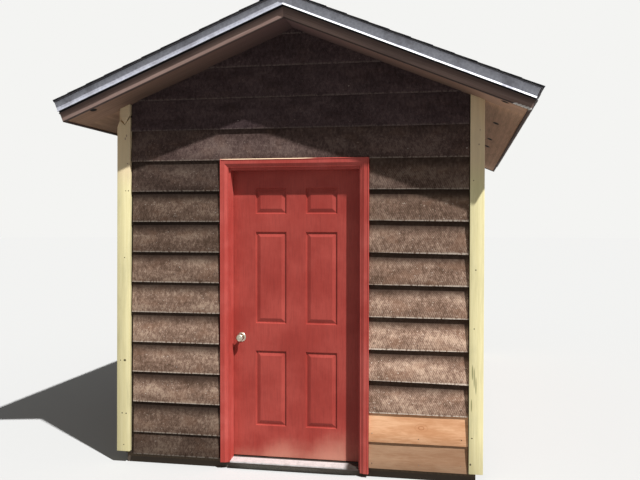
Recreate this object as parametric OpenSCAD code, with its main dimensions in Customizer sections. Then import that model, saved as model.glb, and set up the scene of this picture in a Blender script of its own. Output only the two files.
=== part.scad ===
// Wooden outhouse: a gabled timber building with lapped board walls, corner boards,
// one red panelled door and an asphalt shingle roof with closed soffits.
// Millimetres, +Z up, front towards -Y, origin on the ground under the middle of the plan.

/* [Walls] */
// Width over the wall framing
frame_w = 2438; // [2200:1:3000]
// Depth over the wall framing
frame_l = 4877; // [3600:1:6000]
// Height of the floor slab above the ground
slab_h = 40; // [30:1:120]
// Depth of the header over the doorway
header_h = 140; // [89:1:240]
// Height of the cripple studs over the header
cripple_h = 238; // [60:1:500]
// Thickness of a stud or plate
stud_t = 38; // [30:1:50]
// Depth of a stud or plate across the wall
stud_d = 89; // [70:1:140]
// Spacing of the studs, centre to centre
stud_pitch = 406; // [300:1:450]
// Thickness of the wall sheathing
sheath_t = 11; // [8:1:20]

/* [Lapped boards] */
// Height of the lowest board edge above the ground
board_foot = 66; // [45:1:140]
// Height of the first board left of the door
first_left = 157; // [120:1:200]
// Height of the first board right of the door, a replacement
first_right = 178; // [120:1:200]
// Height of the second butt edge above the lowest board edge
second_rise = 374; // [330:1:400]
// Exposed height of every board above the second butt edge
exposure = 212; // [150:1:260]
// Thickness at a butt edge
butt_t = 23; // [14:1:28]
// Thickness left just under the next butt edge
lap_t = 7; // [4:1:10]

/* [Corner boards] */
// Thickness of a corner board
corner_t = 36; // [24:1:45]
// Face width of the front left corner board
corner_left_w = 96; // [70:1:140]
// Distance by which the foot of the front left corner board stands out past its top
corner_lean = 15; // [0:1:25]
// Face width of every other corner board
corner_w = 92; // [70:1:140]
// Height of the corner board ends above the ground
corner_foot = 84; // [60:1:160]
// Height of the end of the front right corner board
corner_right_foot = 70; // [60:1:160]
// Length missing from the top of the front left board
corner_gap = 128; // [80:1:200]
// Width of the pointed scab piece at the top of that board
scab_w = 72; // [50:1:80]
// Depth of the point of the scab piece
scab_point = 62; // [30:1:70]
// Shift of the scab piece towards the door
scab_shift = 9; // [0:1:12]
// Rise of the right shoulder of the scab piece over the left one
scab_step = 8; // [0:1:20]
// Open joint round the point of the scab piece
scab_joint = 2; // [1:1:6]

/* [Roof] */
// Slope of the roof in degrees
pitch = 22.3; // [15:0.1:35]
// Thickness of the roof deck
deck_t = 12; // [9:1:20]
// Depth of a rafter, square to the slope
rafter_h = 112; // [89:1:160]
// Number of rafter bays between the gable walls
rafter_bays = 8; // [6:1:12]
// Depth of the birdsmouth cut at the wall face
seat_cut = 25; // [10:1:30]
// Depth of the ridge board
ridge_h = 140; // [121:1:200]
// Overhang of the rake boards past the gable sheathing
rake_over = 305; // [150:1:450]
// Level overhang of the fascia past the side sheathing, at the deck
eave_over = 353; // [200:1:500]
// Width of the fascia and rake boards, square to the slope
trim_w = 140; // [135:1:190]
// Thickness of the fascia and rake boards
trim_t = 19; // [15:1:30]
// Width of the strip on each rake board
strip_w = 64; // [40:1:80]
// Thickness of the soffit panels
soffit_t = 9.5; // [6:0.5:15]
// Hairline gap where sawn pieces seat on each other
seat = 0.3; // [0.1:0.1:0.8]
// Thickness of the shingles at a butt edge
shingle_t = 14; // [8:1:20]
// Thickness of the shingles just under the next butt edge
shingle_top_t = 6; // [3:1:7]
// Exposed length of a shingle course
course_l = 143; // [120:1:200]
// Overhang of the shingles past the metal edge
shingle_over = 22; // [10:1:40]
// Length of each side of the ridge cap
cap_l = 155; // [145:1:250]
// Thickness of the ridge cap
cap_t = 7; // [4:1:12]
// Thickness of the metal drip edge
metal_t = 1.2; // [0.8:0.1:2]
// Length of the drip edge flange on the deck
flange_l = 50; // [30:1:80]
// Height of the drip edge face
metal_h = 60; // [50:1:95]
// Outward kick of the drip edge hem
kick = 7; // [3:1:12]

/* [Door] */
// Width of the door leaf
door_w = 905; // [760:1:960]
// Height of the door leaf
door_h = 2000; // [1950:1:2100]
// Thickness of the door leaf
door_t = 44; // [35:1:50]
// Gap between the leaf and the jambs
door_gap = 7; // [6:1:10]
// Gap between the outer face of the leaf and the stops
stop_gap = 5.5; // [5:0.5:8]
// Gap between the leaf and the sill
foot_gap = 6; // [5:1:12]
// Depth of the jambs across the wall
jamb_d = 116; // [100:1:150]
// Thickness of the jamb behind the rabbet
jamb_t = 19; // [16:1:30]
// Depth of the rabbet that forms the stop
rabbet = 12.5; // [8:0.5:18]
// Height of the sill at the door
sill_h = 28; // [20:1:40]
// Height of the sill nosing
nosing_h = 16; // [10:1:18]
// Reach of the sill in front of the sheathing
sill_over = 24; // [5:1:30]
// Face width of the casing
casing_w = 57; // [40:1:80]
// Thickness of the casing
casing_t = 32; // [24:1:40]
// Strip of jamb left bare beside the casing
reveal = 12; // [4:1:14]
// Strip of jamb left bare under the head casing
head_reveal = 18; // [4:1:24]
// Height of the left casing foot above the ground
casing_foot_left = 46; // [42:1:120]
// Height of the right casing foot above the ground
casing_foot_right = 26; // [20:1:120]
// Width of a raised panel over its moulding
panel_w = 225; // [150:1:240]
// Width of the middle stile between the panels
mullion_w = 132; // [100:1:170]
// Height of the lowest panel edge above the leaf's foot
panel_foot = 214; // [150:1:260]
// Height of the bottom panels
panel_low_h = 529; // [300:1:540]
// Height of the middle panels
panel_mid_h = 642; // [400:1:660]
// Height of the top panels
panel_top_h = 183; // [100:1:200]
// Height of the rail between bottom and middle panels
lock_rail_h = 187; // [150:1:230]
// Height of the rail between middle and top panels
frieze_rail_h = 120; // [90:1:150]
// Depth of the groove round a panel
panel_groove = 6; // [3:1:9]
// Width of the groove round a panel
groove_w = 22; // [14:1:30]

/* [Hardware] */
// Distance of the knob axis from the edge of the leaf
backset = 60; // [60:1:80]
// Height of the knob axis above the leaf's foot
knob_z = 832; // [800:1:1050]
// Diameter of the knob
knob_d = 54; // [46:1:60]
// Reach of the knob from the leaf
knob_reach = 62; // [55:1:75]
// Diameter of the rose plate
rose_d = 66; // [58:1:80]
// Height of the rose plate
rose_t = 7; // [4:1:12]
// Width of the sloping rim of the rose plate
rose_rim = 8; // [4:1:12]
// Gap between the strike plate and its recess
let_in = 0.1; // [0.1:0.1:0.5]
// Diameter of the knob's neck
neck_d = 22; // [16:1:26]
// Length of a hinge
hinge_l = 102; // [76:1:127]
// Radius of a hinge knuckle
knuckle_r = 6; // [5:0.5:8]
// Radius of the hinge pin
pin_r = 2.5; // [2:0.5:3]
// Distance of the top and bottom hinges from the ends of the leaf
hinge_inset = 180; // [150:1:260]

/* [Hidden] */

// Planes of the walls
half_w = frame_w / 2;
half_l = frame_l / 2;
sheath_x = half_w + sheath_t;
sheath_y = half_l + sheath_t;
corner_x = sheath_x + corner_t;

// Door planes and opening
leaf_z = slab_h + sill_h + foot_gap;
leaf_top_z = leaf_z + door_h;
jamb_front_y = -sheath_y;
jamb_back_y = jamb_front_y + jamb_d;
leaf_back_y = jamb_back_y;
leaf_front_y = leaf_back_y - door_t;
stop_y = leaf_front_y - stop_gap;
rabbet_x = door_w / 2 + door_gap;
stop_x = rabbet_x - rabbet;
jamb_x = rabbet_x + jamb_t;
rabbet_z = leaf_top_z + door_gap;
stop_z = rabbet_z - rabbet;
jamb_top_z = rabbet_z + jamb_t;
casing_in_x = stop_x + reveal;
casing_x = casing_in_x + casing_w;
casing_in_z = stop_z + head_reveal;
casing_z = casing_in_z + casing_w;
jack_x = jamb_x + stud_t;

// Wall plates, over the header and its cripple studs
header_z = jamb_top_z + header_h;
plate_z = header_z + cripple_h + 2 * stud_t;

// Roof lines: s runs down the slope from the ridge, depths are square to the deck
slope = tan(pitch);
frame_depth = deck_t + rafter_h;
soffit_depth = frame_depth + soffit_t;
ridge_z = plate_z - seat_cut + half_w * slope + frame_depth / cos(pitch);
fascia_s = (sheath_x + eave_over) / cos(pitch);
rake_y = sheath_y + rake_over;
board_back_y = rake_y - trim_t;
metal_y = rake_y + trim_t;
shingle_y = metal_y + metal_t + shingle_over;
shingle_s = fascia_s + metal_t + shingle_over;
eave_soffit_s = (sheath_x + soffit_depth * sin(pitch)) / cos(pitch);

// Height of a roof layer of a given depth at a given distance from the middle
function roof_z(x, depth) = ridge_z - x * slope - depth / cos(pitch);

// Height where cladding of the given distance from the middle meets the soffit
function clad_top_z(x) = roof_z(x, soffit_depth + seat);
side_top_z = clad_top_z(corner_x);

// Hinge axis at the inner corner of the leaf
pin_x = door_w / 2 + door_gap * 0.6;
pin_y = leaf_back_y + knuckle_r + 1;
knuckle_gap = 0.8;
knuckles = 5;
hinge_leaf_t = 2;
hinge_leaf_d = 34;
pin_play = 0.5;
hinge_zs = [leaf_z + hinge_inset, leaf_z + door_h / 2, leaf_top_z - hinge_inset];

// Knob axis
knob_x = -door_w / 2 + backset;
knob_axis_z = leaf_z + knob_z;
spindle_d = 12;
lock_bore_d = 34;
neck_play = 0.6;
latch_w = 25;
latch_h = 57;
latch_t = 2;
strike_h = 70;
strike_w = 32;
strike_hole = 16;
bolt_depth = 12;

// Lapped boards: heights of the butt edges on each side of the door
function butt_z(i, first) =
    i == 0 ? board_foot :
    i == 1 ? board_foot + first :
    board_foot + second_rise + (i - 2) * exposure;
function course_count(top) = ceil((top - board_foot - second_rise) / exposure) + 2;

// Section of the lapped boards and their sheathing: x outward, y up
module lap_section(top, first) {
    n = course_count(top);
    faces = [for (i = [0 : n - 1], k = [0, 1])
        k == 0 ? [butt_t, butt_z(i, first)] : [lap_t, butt_z(i + 1, first)]];
    polygon(concat([[0, board_foot]], faces, [[0, butt_z(n, first)]]));
}

// A lapped face that looks towards -Y, from x0 to x1, cut off at a height
module lap_face(x0, x1, top, first) {
    intersection() {
        translate([x0, -sheath_y, 0]) rotate([90, 0, 90]) linear_extrude(x1 - x0)
            mirror([1, 0]) lap_section(top, first);
        translate([x0, -sheath_y - butt_t - 1, board_foot])
            cube([x1 - x0, butt_t + 2, top - board_foot]);
    }
}

// Outline of a gable wall under the soffits, over a given level
module gable_outline(x, z0) {
    polygon([[-x, z0], [x, z0], [x, clad_top_z(x)], [0, clad_top_z(0)], [-x, clad_top_z(x)]]);
}

// An upright plate with its outline in x and z, between two planes of y
module upright(y0, y1) {
    translate([0, y1, 0]) rotate([90, 0, 0]) linear_extrude(y1 - y0) children();
}

// A box from its low corner to its high corner
module box(a, b) {
    translate(a) cube(b - a);
}

// Places children on the right roof slope: x down the slope, z up from the deck
module on_slope() {
    translate([0, 0, ridge_z]) rotate([0, pitch, 0]) children();
}

// Section of a layer of the right slope, cut plumb near the ridge
module slope_section(s0, s1, depth0, depth1, plumb_x) {
    intersection() {
        translate([0, ridge_z]) rotate(-pitch) translate([s0, -depth1])
            square([s1 - s0, depth1 - depth0]);
        translate([plumb_x, 0]) square([2 * fascia_s, 2 * ridge_z]);
    }
}

// A layer of the right slope between two planes of y
module slope_layer(s0, s1, depth0, depth1, y0, y1, plumb_x = 0) {
    upright(y0, y1) slope_section(s0, s1, depth0, depth1, plumb_x);
}

module left_side() {
    mirror([1, 0, 0]) children();
}

module back_side() {
    mirror([0, 1, 0]) children();
}

// Positions of studs between two ends, with one at each end
function stud_rows(a, b) =
    let (n = ceil((b - a - stud_t) / stud_pitch))
    [for (i = [0 : n]) a + i * (b - a - stud_t) / n];

module floor_slab() {
    color("#a8a49c") box([-half_w, -half_l, 0], [half_w, half_l, slab_h]);
}

// Side wall frame on the right: plates and studs
module side_frame() {
    x0 = half_w - stud_d;
    box([x0, -half_l, slab_h], [half_w, half_l, slab_h + stud_t]);
    box([x0, -half_l, plate_z - 2 * stud_t], [half_w, half_l, plate_z]);
    for (y = stud_rows(-half_l, half_l))
        box([x0, y, slab_h + stud_t], [half_w, y + stud_t, plate_z - 2 * stud_t]);
}

module left_wall_frame() {
    color("#c9a877") left_side() side_frame();
}

module right_wall_frame() {
    color("#c9a877") side_frame();
}

// Short studs of a gable, from the plates up to the rafters, with one under the ridge
module gable_studs() {
    n = floor((half_w - stud_d - stud_t) / stud_pitch);
    for (x = [for (i = [-n : n]) i * stud_pitch - stud_t / 2])
        upright(-half_l, -half_l + stud_d) intersection() {
            translate([x, plate_z]) square([stud_t, ridge_z]);
            polygon([[-half_w, 0], [half_w, 0], [half_w, roof_z(half_w, frame_depth + seat)],
                [ridge_gap, roof_z(ridge_gap, frame_depth + seat)], [ridge_gap, ridge_foot_z],
                [-ridge_gap, ridge_foot_z], [-ridge_gap, roof_z(ridge_gap, frame_depth + seat)],
                [-half_w, roof_z(half_w, frame_depth + seat)]]);
        }
}

// Foot and half thickness of the ridge board
ridge_gap = stud_t / 2;
ridge_foot_z = roof_z(ridge_gap, deck_t) - ridge_h;
// Open joint where two boards meet
joint = 1;

// Frame beside the doorway, on the right
module door_side_frame() {
    x1 = half_w - stud_d;
    y0 = -half_l;
    y1 = -half_l + stud_d;
    box([jamb_x, y0, slab_h], [x1, y1, slab_h + stud_t]);
    box([jamb_x, y0, slab_h + stud_t], [jack_x, y1, jamb_top_z]);
    for (x = stud_rows(jack_x, x1))
        box([x, y0, slab_h + stud_t], [x + stud_t, y1, plate_z - 2 * stud_t]);
}

module front_frame_left() {
    color("#c9a877") left_side() door_side_frame();
}

module front_frame_right() {
    color("#c9a877") door_side_frame();
}

// Header, cripple studs, plates and gable studs over the doorway
module front_frame_top() {
    color("#c9a877") {
        x1 = half_w - stud_d;
        y0 = -half_l;
        y1 = -half_l + stud_d;
        box([-jack_x, y0, jamb_top_z], [jack_x, y1, header_z]);
        box([-x1, y0, plate_z - 2 * stud_t], [x1, y1, plate_z]);
        for (x = stud_rows(-jack_x, jack_x))
            box([x, y0, header_z], [x + stud_t, y1, plate_z - 2 * stud_t]);
        gable_studs();
    }
}

module back_wall_frame() {
    color("#c9a877") back_side() {
        x1 = half_w - stud_d;
        y0 = -half_l;
        y1 = -half_l + stud_d;
        box([-x1, y0, slab_h], [x1, y1, slab_h + stud_t]);
        box([-x1, y0, plate_z - 2 * stud_t], [x1, y1, plate_z]);
        for (x = stud_rows(-x1, x1))
            box([x, y0, slab_h + stud_t], [x + stud_t, y1, plate_z - 2 * stud_t]);
        gable_studs();
    }
}

// Cladding beside the door: sheathing with lapped boards on it
module front_siding_left() {
    color("#6f5f55") {
        box([-sheath_x, -sheath_y, board_foot], [-jamb_x, -half_l, jamb_top_z]);
        lap_face(corner_left_w - corner_x, -casing_x, casing_z, first_left);
    }
}

module front_siding_right() {
    color("#8a7462") {
        box([jamb_x, -sheath_y, board_foot], [sheath_x, -half_l, jamb_top_z]);
        lap_face(casing_x, corner_x - corner_w, casing_z, first_right);
    }
}

// Cladding over the door, up to the soffits
module front_siding_top() {
    color("#6f5f55") {
        upright(-sheath_y, -half_l) gable_outline(sheath_x, jamb_top_z);
        intersection() {
            lap_face(corner_left_w - corner_x, corner_x - corner_w, ridge_z, first_left);
            upright(-sheath_y - butt_t, -sheath_y) gable_outline(corner_x - corner_w, casing_z);
        }
    }
}

module back_siding() {
    color("#6f5f55") back_side() {
        upright(-sheath_y, -half_l) gable_outline(sheath_x, board_foot);
        intersection() {
            lap_face(corner_w - corner_x, corner_x - corner_w, ridge_z, first_left);
            upright(-sheath_y - butt_t, -sheath_y) gable_outline(corner_x - corner_w, board_foot);
        }
    }
}

// Cladding of the right side wall
module side_siding() {
    half = sheath_y - corner_w;
    box([half_w, -half_l, board_foot], [sheath_x, half_l, side_top_z]);
    intersection() {
        translate([sheath_x, half, 0]) rotate([90, 0, 0]) linear_extrude(2 * half)
            lap_section(side_top_z, first_left);
        box([sheath_x, -half, board_foot], [sheath_x + butt_t, half, side_top_z]);
    }
}

module left_siding() {
    color("#6f5f55") left_side() side_siding();
}

module right_siding() {
    color("#8a7462") side_siding();
}

// Face board at a front corner, its top cut along the soffit
module corner_face(x0, x1, foot, top_drop, lean = 0) {
    upright(-sheath_y - corner_t, -sheath_y) polygon([[x0 - lean, foot], [x1 - lean, foot],
        [x1, clad_top_z(abs(x1)) - top_drop], [x0, clad_top_z(abs(x0)) - top_drop]]);
}

scab_x = -corner_x + corner_left_w / 2 + scab_shift;

// Outline of the pointed scab piece, grown by a gap where the board is notched for it
module scab_outline(grow) {
    top = clad_top_z(-scab_x);
    polygon([[scab_x - scab_w / 2 - grow, clad_top_z(scab_w / 2 - scab_x)],
        [scab_x - scab_w / 2 - grow, top - corner_gap + scab_point],
        [scab_x, top - corner_gap - grow],
        [scab_x + scab_w / 2 + grow, top - corner_gap + scab_point + scab_step],
        [scab_x + scab_w / 2 + grow, clad_top_z(-scab_x - scab_w / 2)]]);
}

module corner_board_left() {
    color("#c9bd8c") difference() {
        corner_face(-corner_x, corner_left_w - corner_x, corner_foot, corner_gap - scab_step,
            corner_lean);
        upright(-sheath_y - corner_t - 1, -sheath_y + 1) scab_outline(scab_joint);
    }
}

module corner_scab() {
    color("#d8cfa0") upright(-sheath_y - corner_t, -sheath_y) scab_outline(0);
}

module corner_board_right() {
    color("#ddd09a") corner_face(corner_x - corner_w, corner_x, corner_right_foot, 0);
}

// Boards on the side walls, behind the face boards of the front and back
module corner_boards_sides() {
    color("#c9bd8c") for (side = [-1, 1], end = [-1, 1])
        quarter(side, end) box([sheath_x, sheath_y - corner_w, corner_foot],
            [corner_x, sheath_y, side_top_z]);
}

// Mirrors children into one of the four quarters of the plan
module quarter(side, end) {
    mirror([side < 0 ? 1 : 0, 0, 0]) mirror([0, end < 0 ? 1 : 0, 0]) children();
}

module corner_boards_back() {
    color("#c9bd8c") back_side() {
        corner_face(-corner_x, corner_w - corner_x, corner_foot, 0);
        corner_face(corner_x - corner_w, corner_x, corner_foot, 0);
    }
}

// Ridge board, cut shallower past the gables to clear the rake soffits
module ridge_board() {
    outer_foot_z = roof_z(0, frame_depth) + joint;
    color("#c9a877") {
        box([-ridge_gap, -half_l, ridge_foot_z], [ridge_gap, half_l, outer_foot_z]);
        box([-ridge_gap, -board_back_y, outer_foot_z],
            [ridge_gap, board_back_y, roof_z(ridge_gap, deck_t + seat)]);
    }
}

// Rafters of the right slope, with a birdsmouth over the wall plate
module rafters() {
    step = (frame_l - stud_t) / rafter_bays;
    inner = [for (i = [0 : rafter_bays]) -half_l + i * step];
    for (y = concat([-board_back_y], inner, [board_back_y - stud_t]))
        upright(y, y + stud_t) difference() {
            slope_section(0, fascia_s - trim_t - seat, deck_t, frame_depth, ridge_gap);
            translate([half_w - stud_d, slab_h]) square([stud_d, plate_z - slab_h]);
        }
}

module rafters_left() {
    color("#c9a877") left_side() rafters();
}

module rafters_right() {
    color("#c9a877") rafters();
}

module deck() {
    slope_layer(0, fascia_s - trim_t - seat, 0, deck_t, -board_back_y, board_back_y);
}

module roof_deck_left() {
    color("#b99a6b") left_side() deck();
}

module roof_deck_right() {
    color("#b99a6b") deck();
}

module fascia() {
    slope_layer(fascia_s - trim_t, fascia_s, 0, trim_w, -board_back_y, board_back_y);
}

module fascia_left() {
    color("#4d3d35") left_side() fascia();
}

module fascia_right() {
    color("#4d3d35") fascia();
}

// Both rake boards of the front gable, meeting in a plumb joint
module rake_pair(depth, y0, y1) {
    slope_layer(0, fascia_s, 0, depth, y0, y1, joint / 2);
    left_side() slope_layer(0, fascia_s, 0, depth, y0, y1, joint / 2);
}

module rake_boards_front() {
    color("#4d3d35") rake_pair(trim_w, -rake_y, -board_back_y);
}

module rake_boards_back() {
    color("#4d3d35") back_side() rake_pair(trim_w, -rake_y, -board_back_y);
}

// Strips on the rake boards, under the metal edge
module rake_strips() {
    color("#4d3d35") {
        rake_pair(strip_w, -metal_y, -rake_y);
        back_side() rake_pair(strip_w, -metal_y, -rake_y);
    }
}

// Soffit panels under the eaves, between the rake panels
module soffits_eaves() {
    color("#7a6248") for (side = [0, 1]) mirror([side, 0, 0])
        slope_layer(eave_soffit_s, fascia_s - trim_t - seat, frame_depth, soffit_depth,
            -sheath_y, sheath_y);
}

// Soffit panels under the rakes, one on each slope at front and back
module soffits_rakes() {
    color("#7a6248") for (side = [0, 1], end = [0, 1]) mirror([side, 0, 0]) mirror([0, end, 0])
        slope_layer(0, fascia_s - trim_t - seat, frame_depth, soffit_depth, -board_back_y,
            -sheath_y - seat, joint / 2);
}

// Section of the drip edge: x outward from the face it covers, y up from the deck
module metal_section() {
    polygon([[-flange_l, 0], [0, 0], [0, -metal_h], [kick, -metal_h - kick],
        [kick + metal_t, -metal_h - kick + metal_t], [metal_t, -metal_h + metal_t],
        [metal_t, metal_t], [-flange_l, metal_t]]);
}

// Drip edge of the right slope: the eave and both rakes
module drip_edge() {
    on_slope() translate([fascia_s, board_back_y, 0]) rotate([90, 0, 0])
        linear_extrude(2 * board_back_y) metal_section();
    for (end = [0, 1]) mirror([0, end, 0]) intersection() {
        on_slope() translate([-fascia_s, -metal_y, 0]) rotate([90, 0, 90])
            linear_extrude(2 * fascia_s + metal_t) mirror([1, 0]) metal_section();
        box([0, -metal_y - 2 * kick, 0], [2 * fascia_s, -rake_y + flange_l, 2 * ridge_z]);
    }
}

module drip_edge_left() {
    color("#d5d3dd") left_side() drip_edge();
}

module drip_edge_right() {
    color("#d5d3dd") drip_edge();
}

// Section of the shingle courses: x down the slope, y up from the deck
module shingle_section() {
    n = floor(shingle_s / course_l);
    teeth = [for (i = [0 : n], k = [0, 1])
        let (butt = shingle_s - i * course_l, head = max(butt - course_l, -course_l))
        k == 0 ? [butt, shingle_t] : [head, shingle_top_t]];
    polygon(concat([[-course_l, metal_t], [shingle_s, metal_t]], teeth));
}

module shingles() {
    intersection() {
        on_slope() translate([0, shingle_y, 0]) rotate([90, 0, 0])
            linear_extrude(2 * shingle_y) shingle_section();
        box([0, -shingle_y, 0], [2 * shingle_s, shingle_y, 2 * ridge_z]);
    }
}

module shingles_left() {
    color("#5d5b60") left_side() shingles();
}

module shingles_right() {
    color("#5d5b60") shingles();
}

// Ridge cap: a folded strip over both slopes
module ridge_cap() {
    x = cap_l * cos(pitch);
    foot = -shingle_t - seat;
    top = foot - cap_t;
    color("#5d5b60") upright(-shingle_y, shingle_y) polygon([
        [-x, roof_z(x, foot)], [0, roof_z(0, foot)], [x, roof_z(x, foot)],
        [x, roof_z(x, top)], [0, roof_z(0, top)], [-x, roof_z(x, top)]]);
}

// Jamb of the right side, rabbeted for the leaf
module side_jamb() {
    translate([0, 0, slab_h]) linear_extrude(jamb_top_z - slab_h) polygon([
        [stop_x, jamb_front_y], [jamb_x, jamb_front_y], [jamb_x, jamb_back_y],
        [rabbet_x, jamb_back_y], [rabbet_x, stop_y], [stop_x, stop_y]]);
}

module jamb_left() {
    color("#9c3a35") difference() {
        left_side() side_jamb();
        strike_pocket(latch_t, strike_w + 2 * let_in, strike_h + 2 * let_in);
        strike_pocket(bolt_depth, strike_hole + 2 * let_in, strike_hole + 2 * let_in);
    }
}

module jamb_right() {
    color("#9c3a35") side_jamb();
}

module jamb_head() {
    color("#9c3a35") {
        box([-rabbet_x, stop_y, rabbet_z], [rabbet_x, jamb_back_y, jamb_top_z]);
        box([-stop_x, jamb_front_y, stop_z], [stop_x, stop_y, rabbet_z]);
        box([-stop_x, jamb_front_y, rabbet_z], [stop_x, stop_y, jamb_top_z]);
    }
}

// Recess in the left jamb for the strike plate, or its hole for the bolt
module strike_pocket(depth, w, h) {
    y = (leaf_front_y + leaf_back_y) / 2;
    box([-rabbet_x - depth, y - w / 2, knob_axis_z - h / 2], [-rabbet_x, y + w / 2, knob_axis_z + h / 2]);
}

module strike_plate() {
    color("#b9b6ae") difference() {
        strike_pocket(latch_t, strike_w, strike_h);
        strike_pocket(latch_t + 1, strike_hole, strike_hole);
    }
}

// Sill with a sloping top, between the jambs
module door_sill() {
    rear = [[stop_y, slab_h], [jamb_back_y, slab_h], [jamb_back_y, slab_h + sill_h],
        [stop_y, slab_h + sill_h]];
    front = [[jamb_front_y - sill_over, slab_h], [stop_y, slab_h], [stop_y, slab_h + sill_h],
        [jamb_front_y - sill_over, slab_h + nosing_h]];
    color("#dcdad6") {
        translate([-rabbet_x, 0, 0]) rotate([90, 0, 90]) linear_extrude(2 * rabbet_x) polygon(rear);
        translate([-stop_x, 0, 0]) rotate([90, 0, 90]) linear_extrude(2 * stop_x) polygon(front);
    }
}

// Moulded section of the casing: x from its inner edge outward, y away from the wall
module casing_section() {
    bead = casing_t * 0.3;
    quirk = 3;
    hollow = 5;
    polygon(concat(
        [[0, 0], [casing_w, 0], [casing_w, casing_t - bead / 2]],
        [for (a = [0 : 30 : 180]) [casing_w - bead / 2 + bead / 2 * cos(a),
            casing_t - bead / 2 + bead / 2 * sin(a)]],
        [[casing_w - bead, casing_t - quirk], [casing_w - bead - quirk, casing_t - quirk]],
        [[casing_w * 0.42, casing_t - quirk - 1], [casing_w * 0.3, casing_t - quirk - hollow],
            [casing_w * 0.16, casing_t - bead - 2], [casing_w * 0.1, casing_t - bead - hollow],
            [0, casing_t - bead - hollow]]));
}

// Upright casing on the right, mitred at the top
module side_casing(foot) {
    intersection() {
        translate([casing_in_x, jamb_front_y, 0]) linear_extrude(casing_z) mirror([0, 1])
            casing_section();
        upright(jamb_front_y - casing_t - 1, jamb_front_y + 1) polygon([[casing_in_x, foot],
            [casing_x, foot], [casing_x, casing_z], [casing_in_x, casing_in_z]]);
    }
}

module casing_left() {
    color("#a83f38") left_side() side_casing(casing_foot_left);
}

module casing_right() {
    color("#a83f38") side_casing(casing_foot_right);
}

module casing_head() {
    color("#a83f38") intersection() {
        translate([-casing_x, jamb_front_y, casing_in_z]) rotate([90, 0, 90])
            linear_extrude(2 * casing_x) mirror([1, 0]) rotate(90) mirror([0, 1]) casing_section();
        upright(jamb_front_y - casing_t - 1, jamb_front_y + 1) polygon([[-casing_in_x, casing_in_z],
            [casing_in_x, casing_in_z], [casing_x, casing_z], [-casing_x, casing_z]]);
    }
}

// Foot and height of each of the three rows of panels
panel_rows = [
    [panel_foot, panel_low_h],
    [panel_foot + panel_low_h + lock_rail_h, panel_mid_h],
    [panel_foot + panel_low_h + lock_rail_h + panel_mid_h + frieze_rail_h, panel_top_h]
];

// Section of a groove round a panel: x into the leaf, y across the groove
module groove_section() {
    run = groove_w * 0.36;
    polygon([[-1, 0], [0, 0], [panel_groove, run], [panel_groove, groove_w - run],
        [0, groove_w], [-1, groove_w]]);
}

// Groove along the foot of a panel that is centred on the origin, mitred at its ends
module groove_foot(w, h) {
    intersection() {
        translate([-w / 2, 0, -h / 2]) rotate([90, 0, 90]) linear_extrude(w) groove_section();
        upright(-1, panel_groove + 1) polygon([[-w / 2, -h / 2], [w / 2, -h / 2],
            [w / 2 - groove_w, groove_w - h / 2], [groove_w - w / 2, groove_w - h / 2]]);
    }
}

// Groove round one whole panel, cut into a face that looks towards -Y
module panel_ring(w, h) {
    for (side = [0, 1]) {
        mirror([0, 0, side]) groove_foot(w, h);
        mirror([side, 0, 0]) rotate([0, 90, 0]) groove_foot(h, w);
    }
}

module panel_grooves() {
    for (side = [-1, 1], row = panel_rows)
        translate([side * (mullion_w + panel_w) / 2, 0, leaf_z + row[0] + row[1] / 2])
            panel_ring(panel_w, row[1]);
}

// Door leaf with six raised panels on each face
module door_leaf() {
    color("#9c3330") difference() {
        box([-door_w / 2, leaf_front_y, leaf_z], [door_w / 2, leaf_back_y, leaf_top_z]);
        translate([0, leaf_front_y, 0]) panel_grooves();
        translate([0, leaf_back_y, 0]) mirror([0, 1, 0]) panel_grooves();
        translate([knob_x, leaf_back_y + 1, knob_axis_z]) rotate([90, 0, 0])
            cylinder(h = door_t + 2, d = lock_bore_d, $fn = 48);
        latch_block();
        for (z = hinge_zs) door_hinge_plate(z);
    }
}

// Faceplate of the latch, let into the edge of the leaf
module latch_block() {
    y = (leaf_front_y + leaf_back_y) / 2;
    box([-door_w / 2, y - latch_w / 2, knob_axis_z - latch_h / 2],
        [-door_w / 2 + latch_t, y + latch_w / 2, knob_axis_z + latch_h / 2]);
}

module latch_plate() {
    color("#b9b6ae") latch_block();
}

// One knuckle of a hinge, counted from its foot
module knuckle(z, i, bore) {
    h = (hinge_l - (knuckles - 1) * knuckle_gap) / knuckles;
    z0 = z - hinge_l / 2 + i * (h + knuckle_gap);
    difference() {
        union() {
            translate([pin_x, pin_y, z0]) cylinder(h = h, r = knuckle_r, $fn = 32);
            children();
        }
        if (bore) translate([pin_x, pin_y, z0 - 1]) cylinder(h = h + 2, r = pin_r + pin_play, $fn = 32);
    }
}

// Range of heights of one knuckle
function knuckle_span(z, i) =
    let (h = (hinge_l - (knuckles - 1) * knuckle_gap) / knuckles)
    [z - hinge_l / 2 + i * (h + knuckle_gap), z - hinge_l / 2 + i * (h + knuckle_gap) + h];

// Plate of a hinge on the leaf, let into its edge
module door_hinge_plate(z) {
    box([door_w / 2 - hinge_leaf_t, leaf_back_y - hinge_leaf_d, z - hinge_l / 2],
        [door_w / 2, leaf_back_y - 2, z + hinge_l / 2]);
}

// Door halves of the hinges: plate, two bored knuckles and the webs that join them
module door_hinges() {
    color("#b8a05a") for (z = hinge_zs) {
        door_hinge_plate(z);
        for (i = [1, 3]) knuckle(z, i, true) {
            span = knuckle_span(z, i);
            box([door_w / 2, leaf_back_y - hinge_leaf_d / 2, span[0]],
                [door_w / 2 + hinge_leaf_t, leaf_back_y - 2, span[1]]);
            box([door_w / 2, leaf_back_y - 4, span[0]], [pin_x, pin_y, span[1]]);
        }
    }
}

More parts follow.
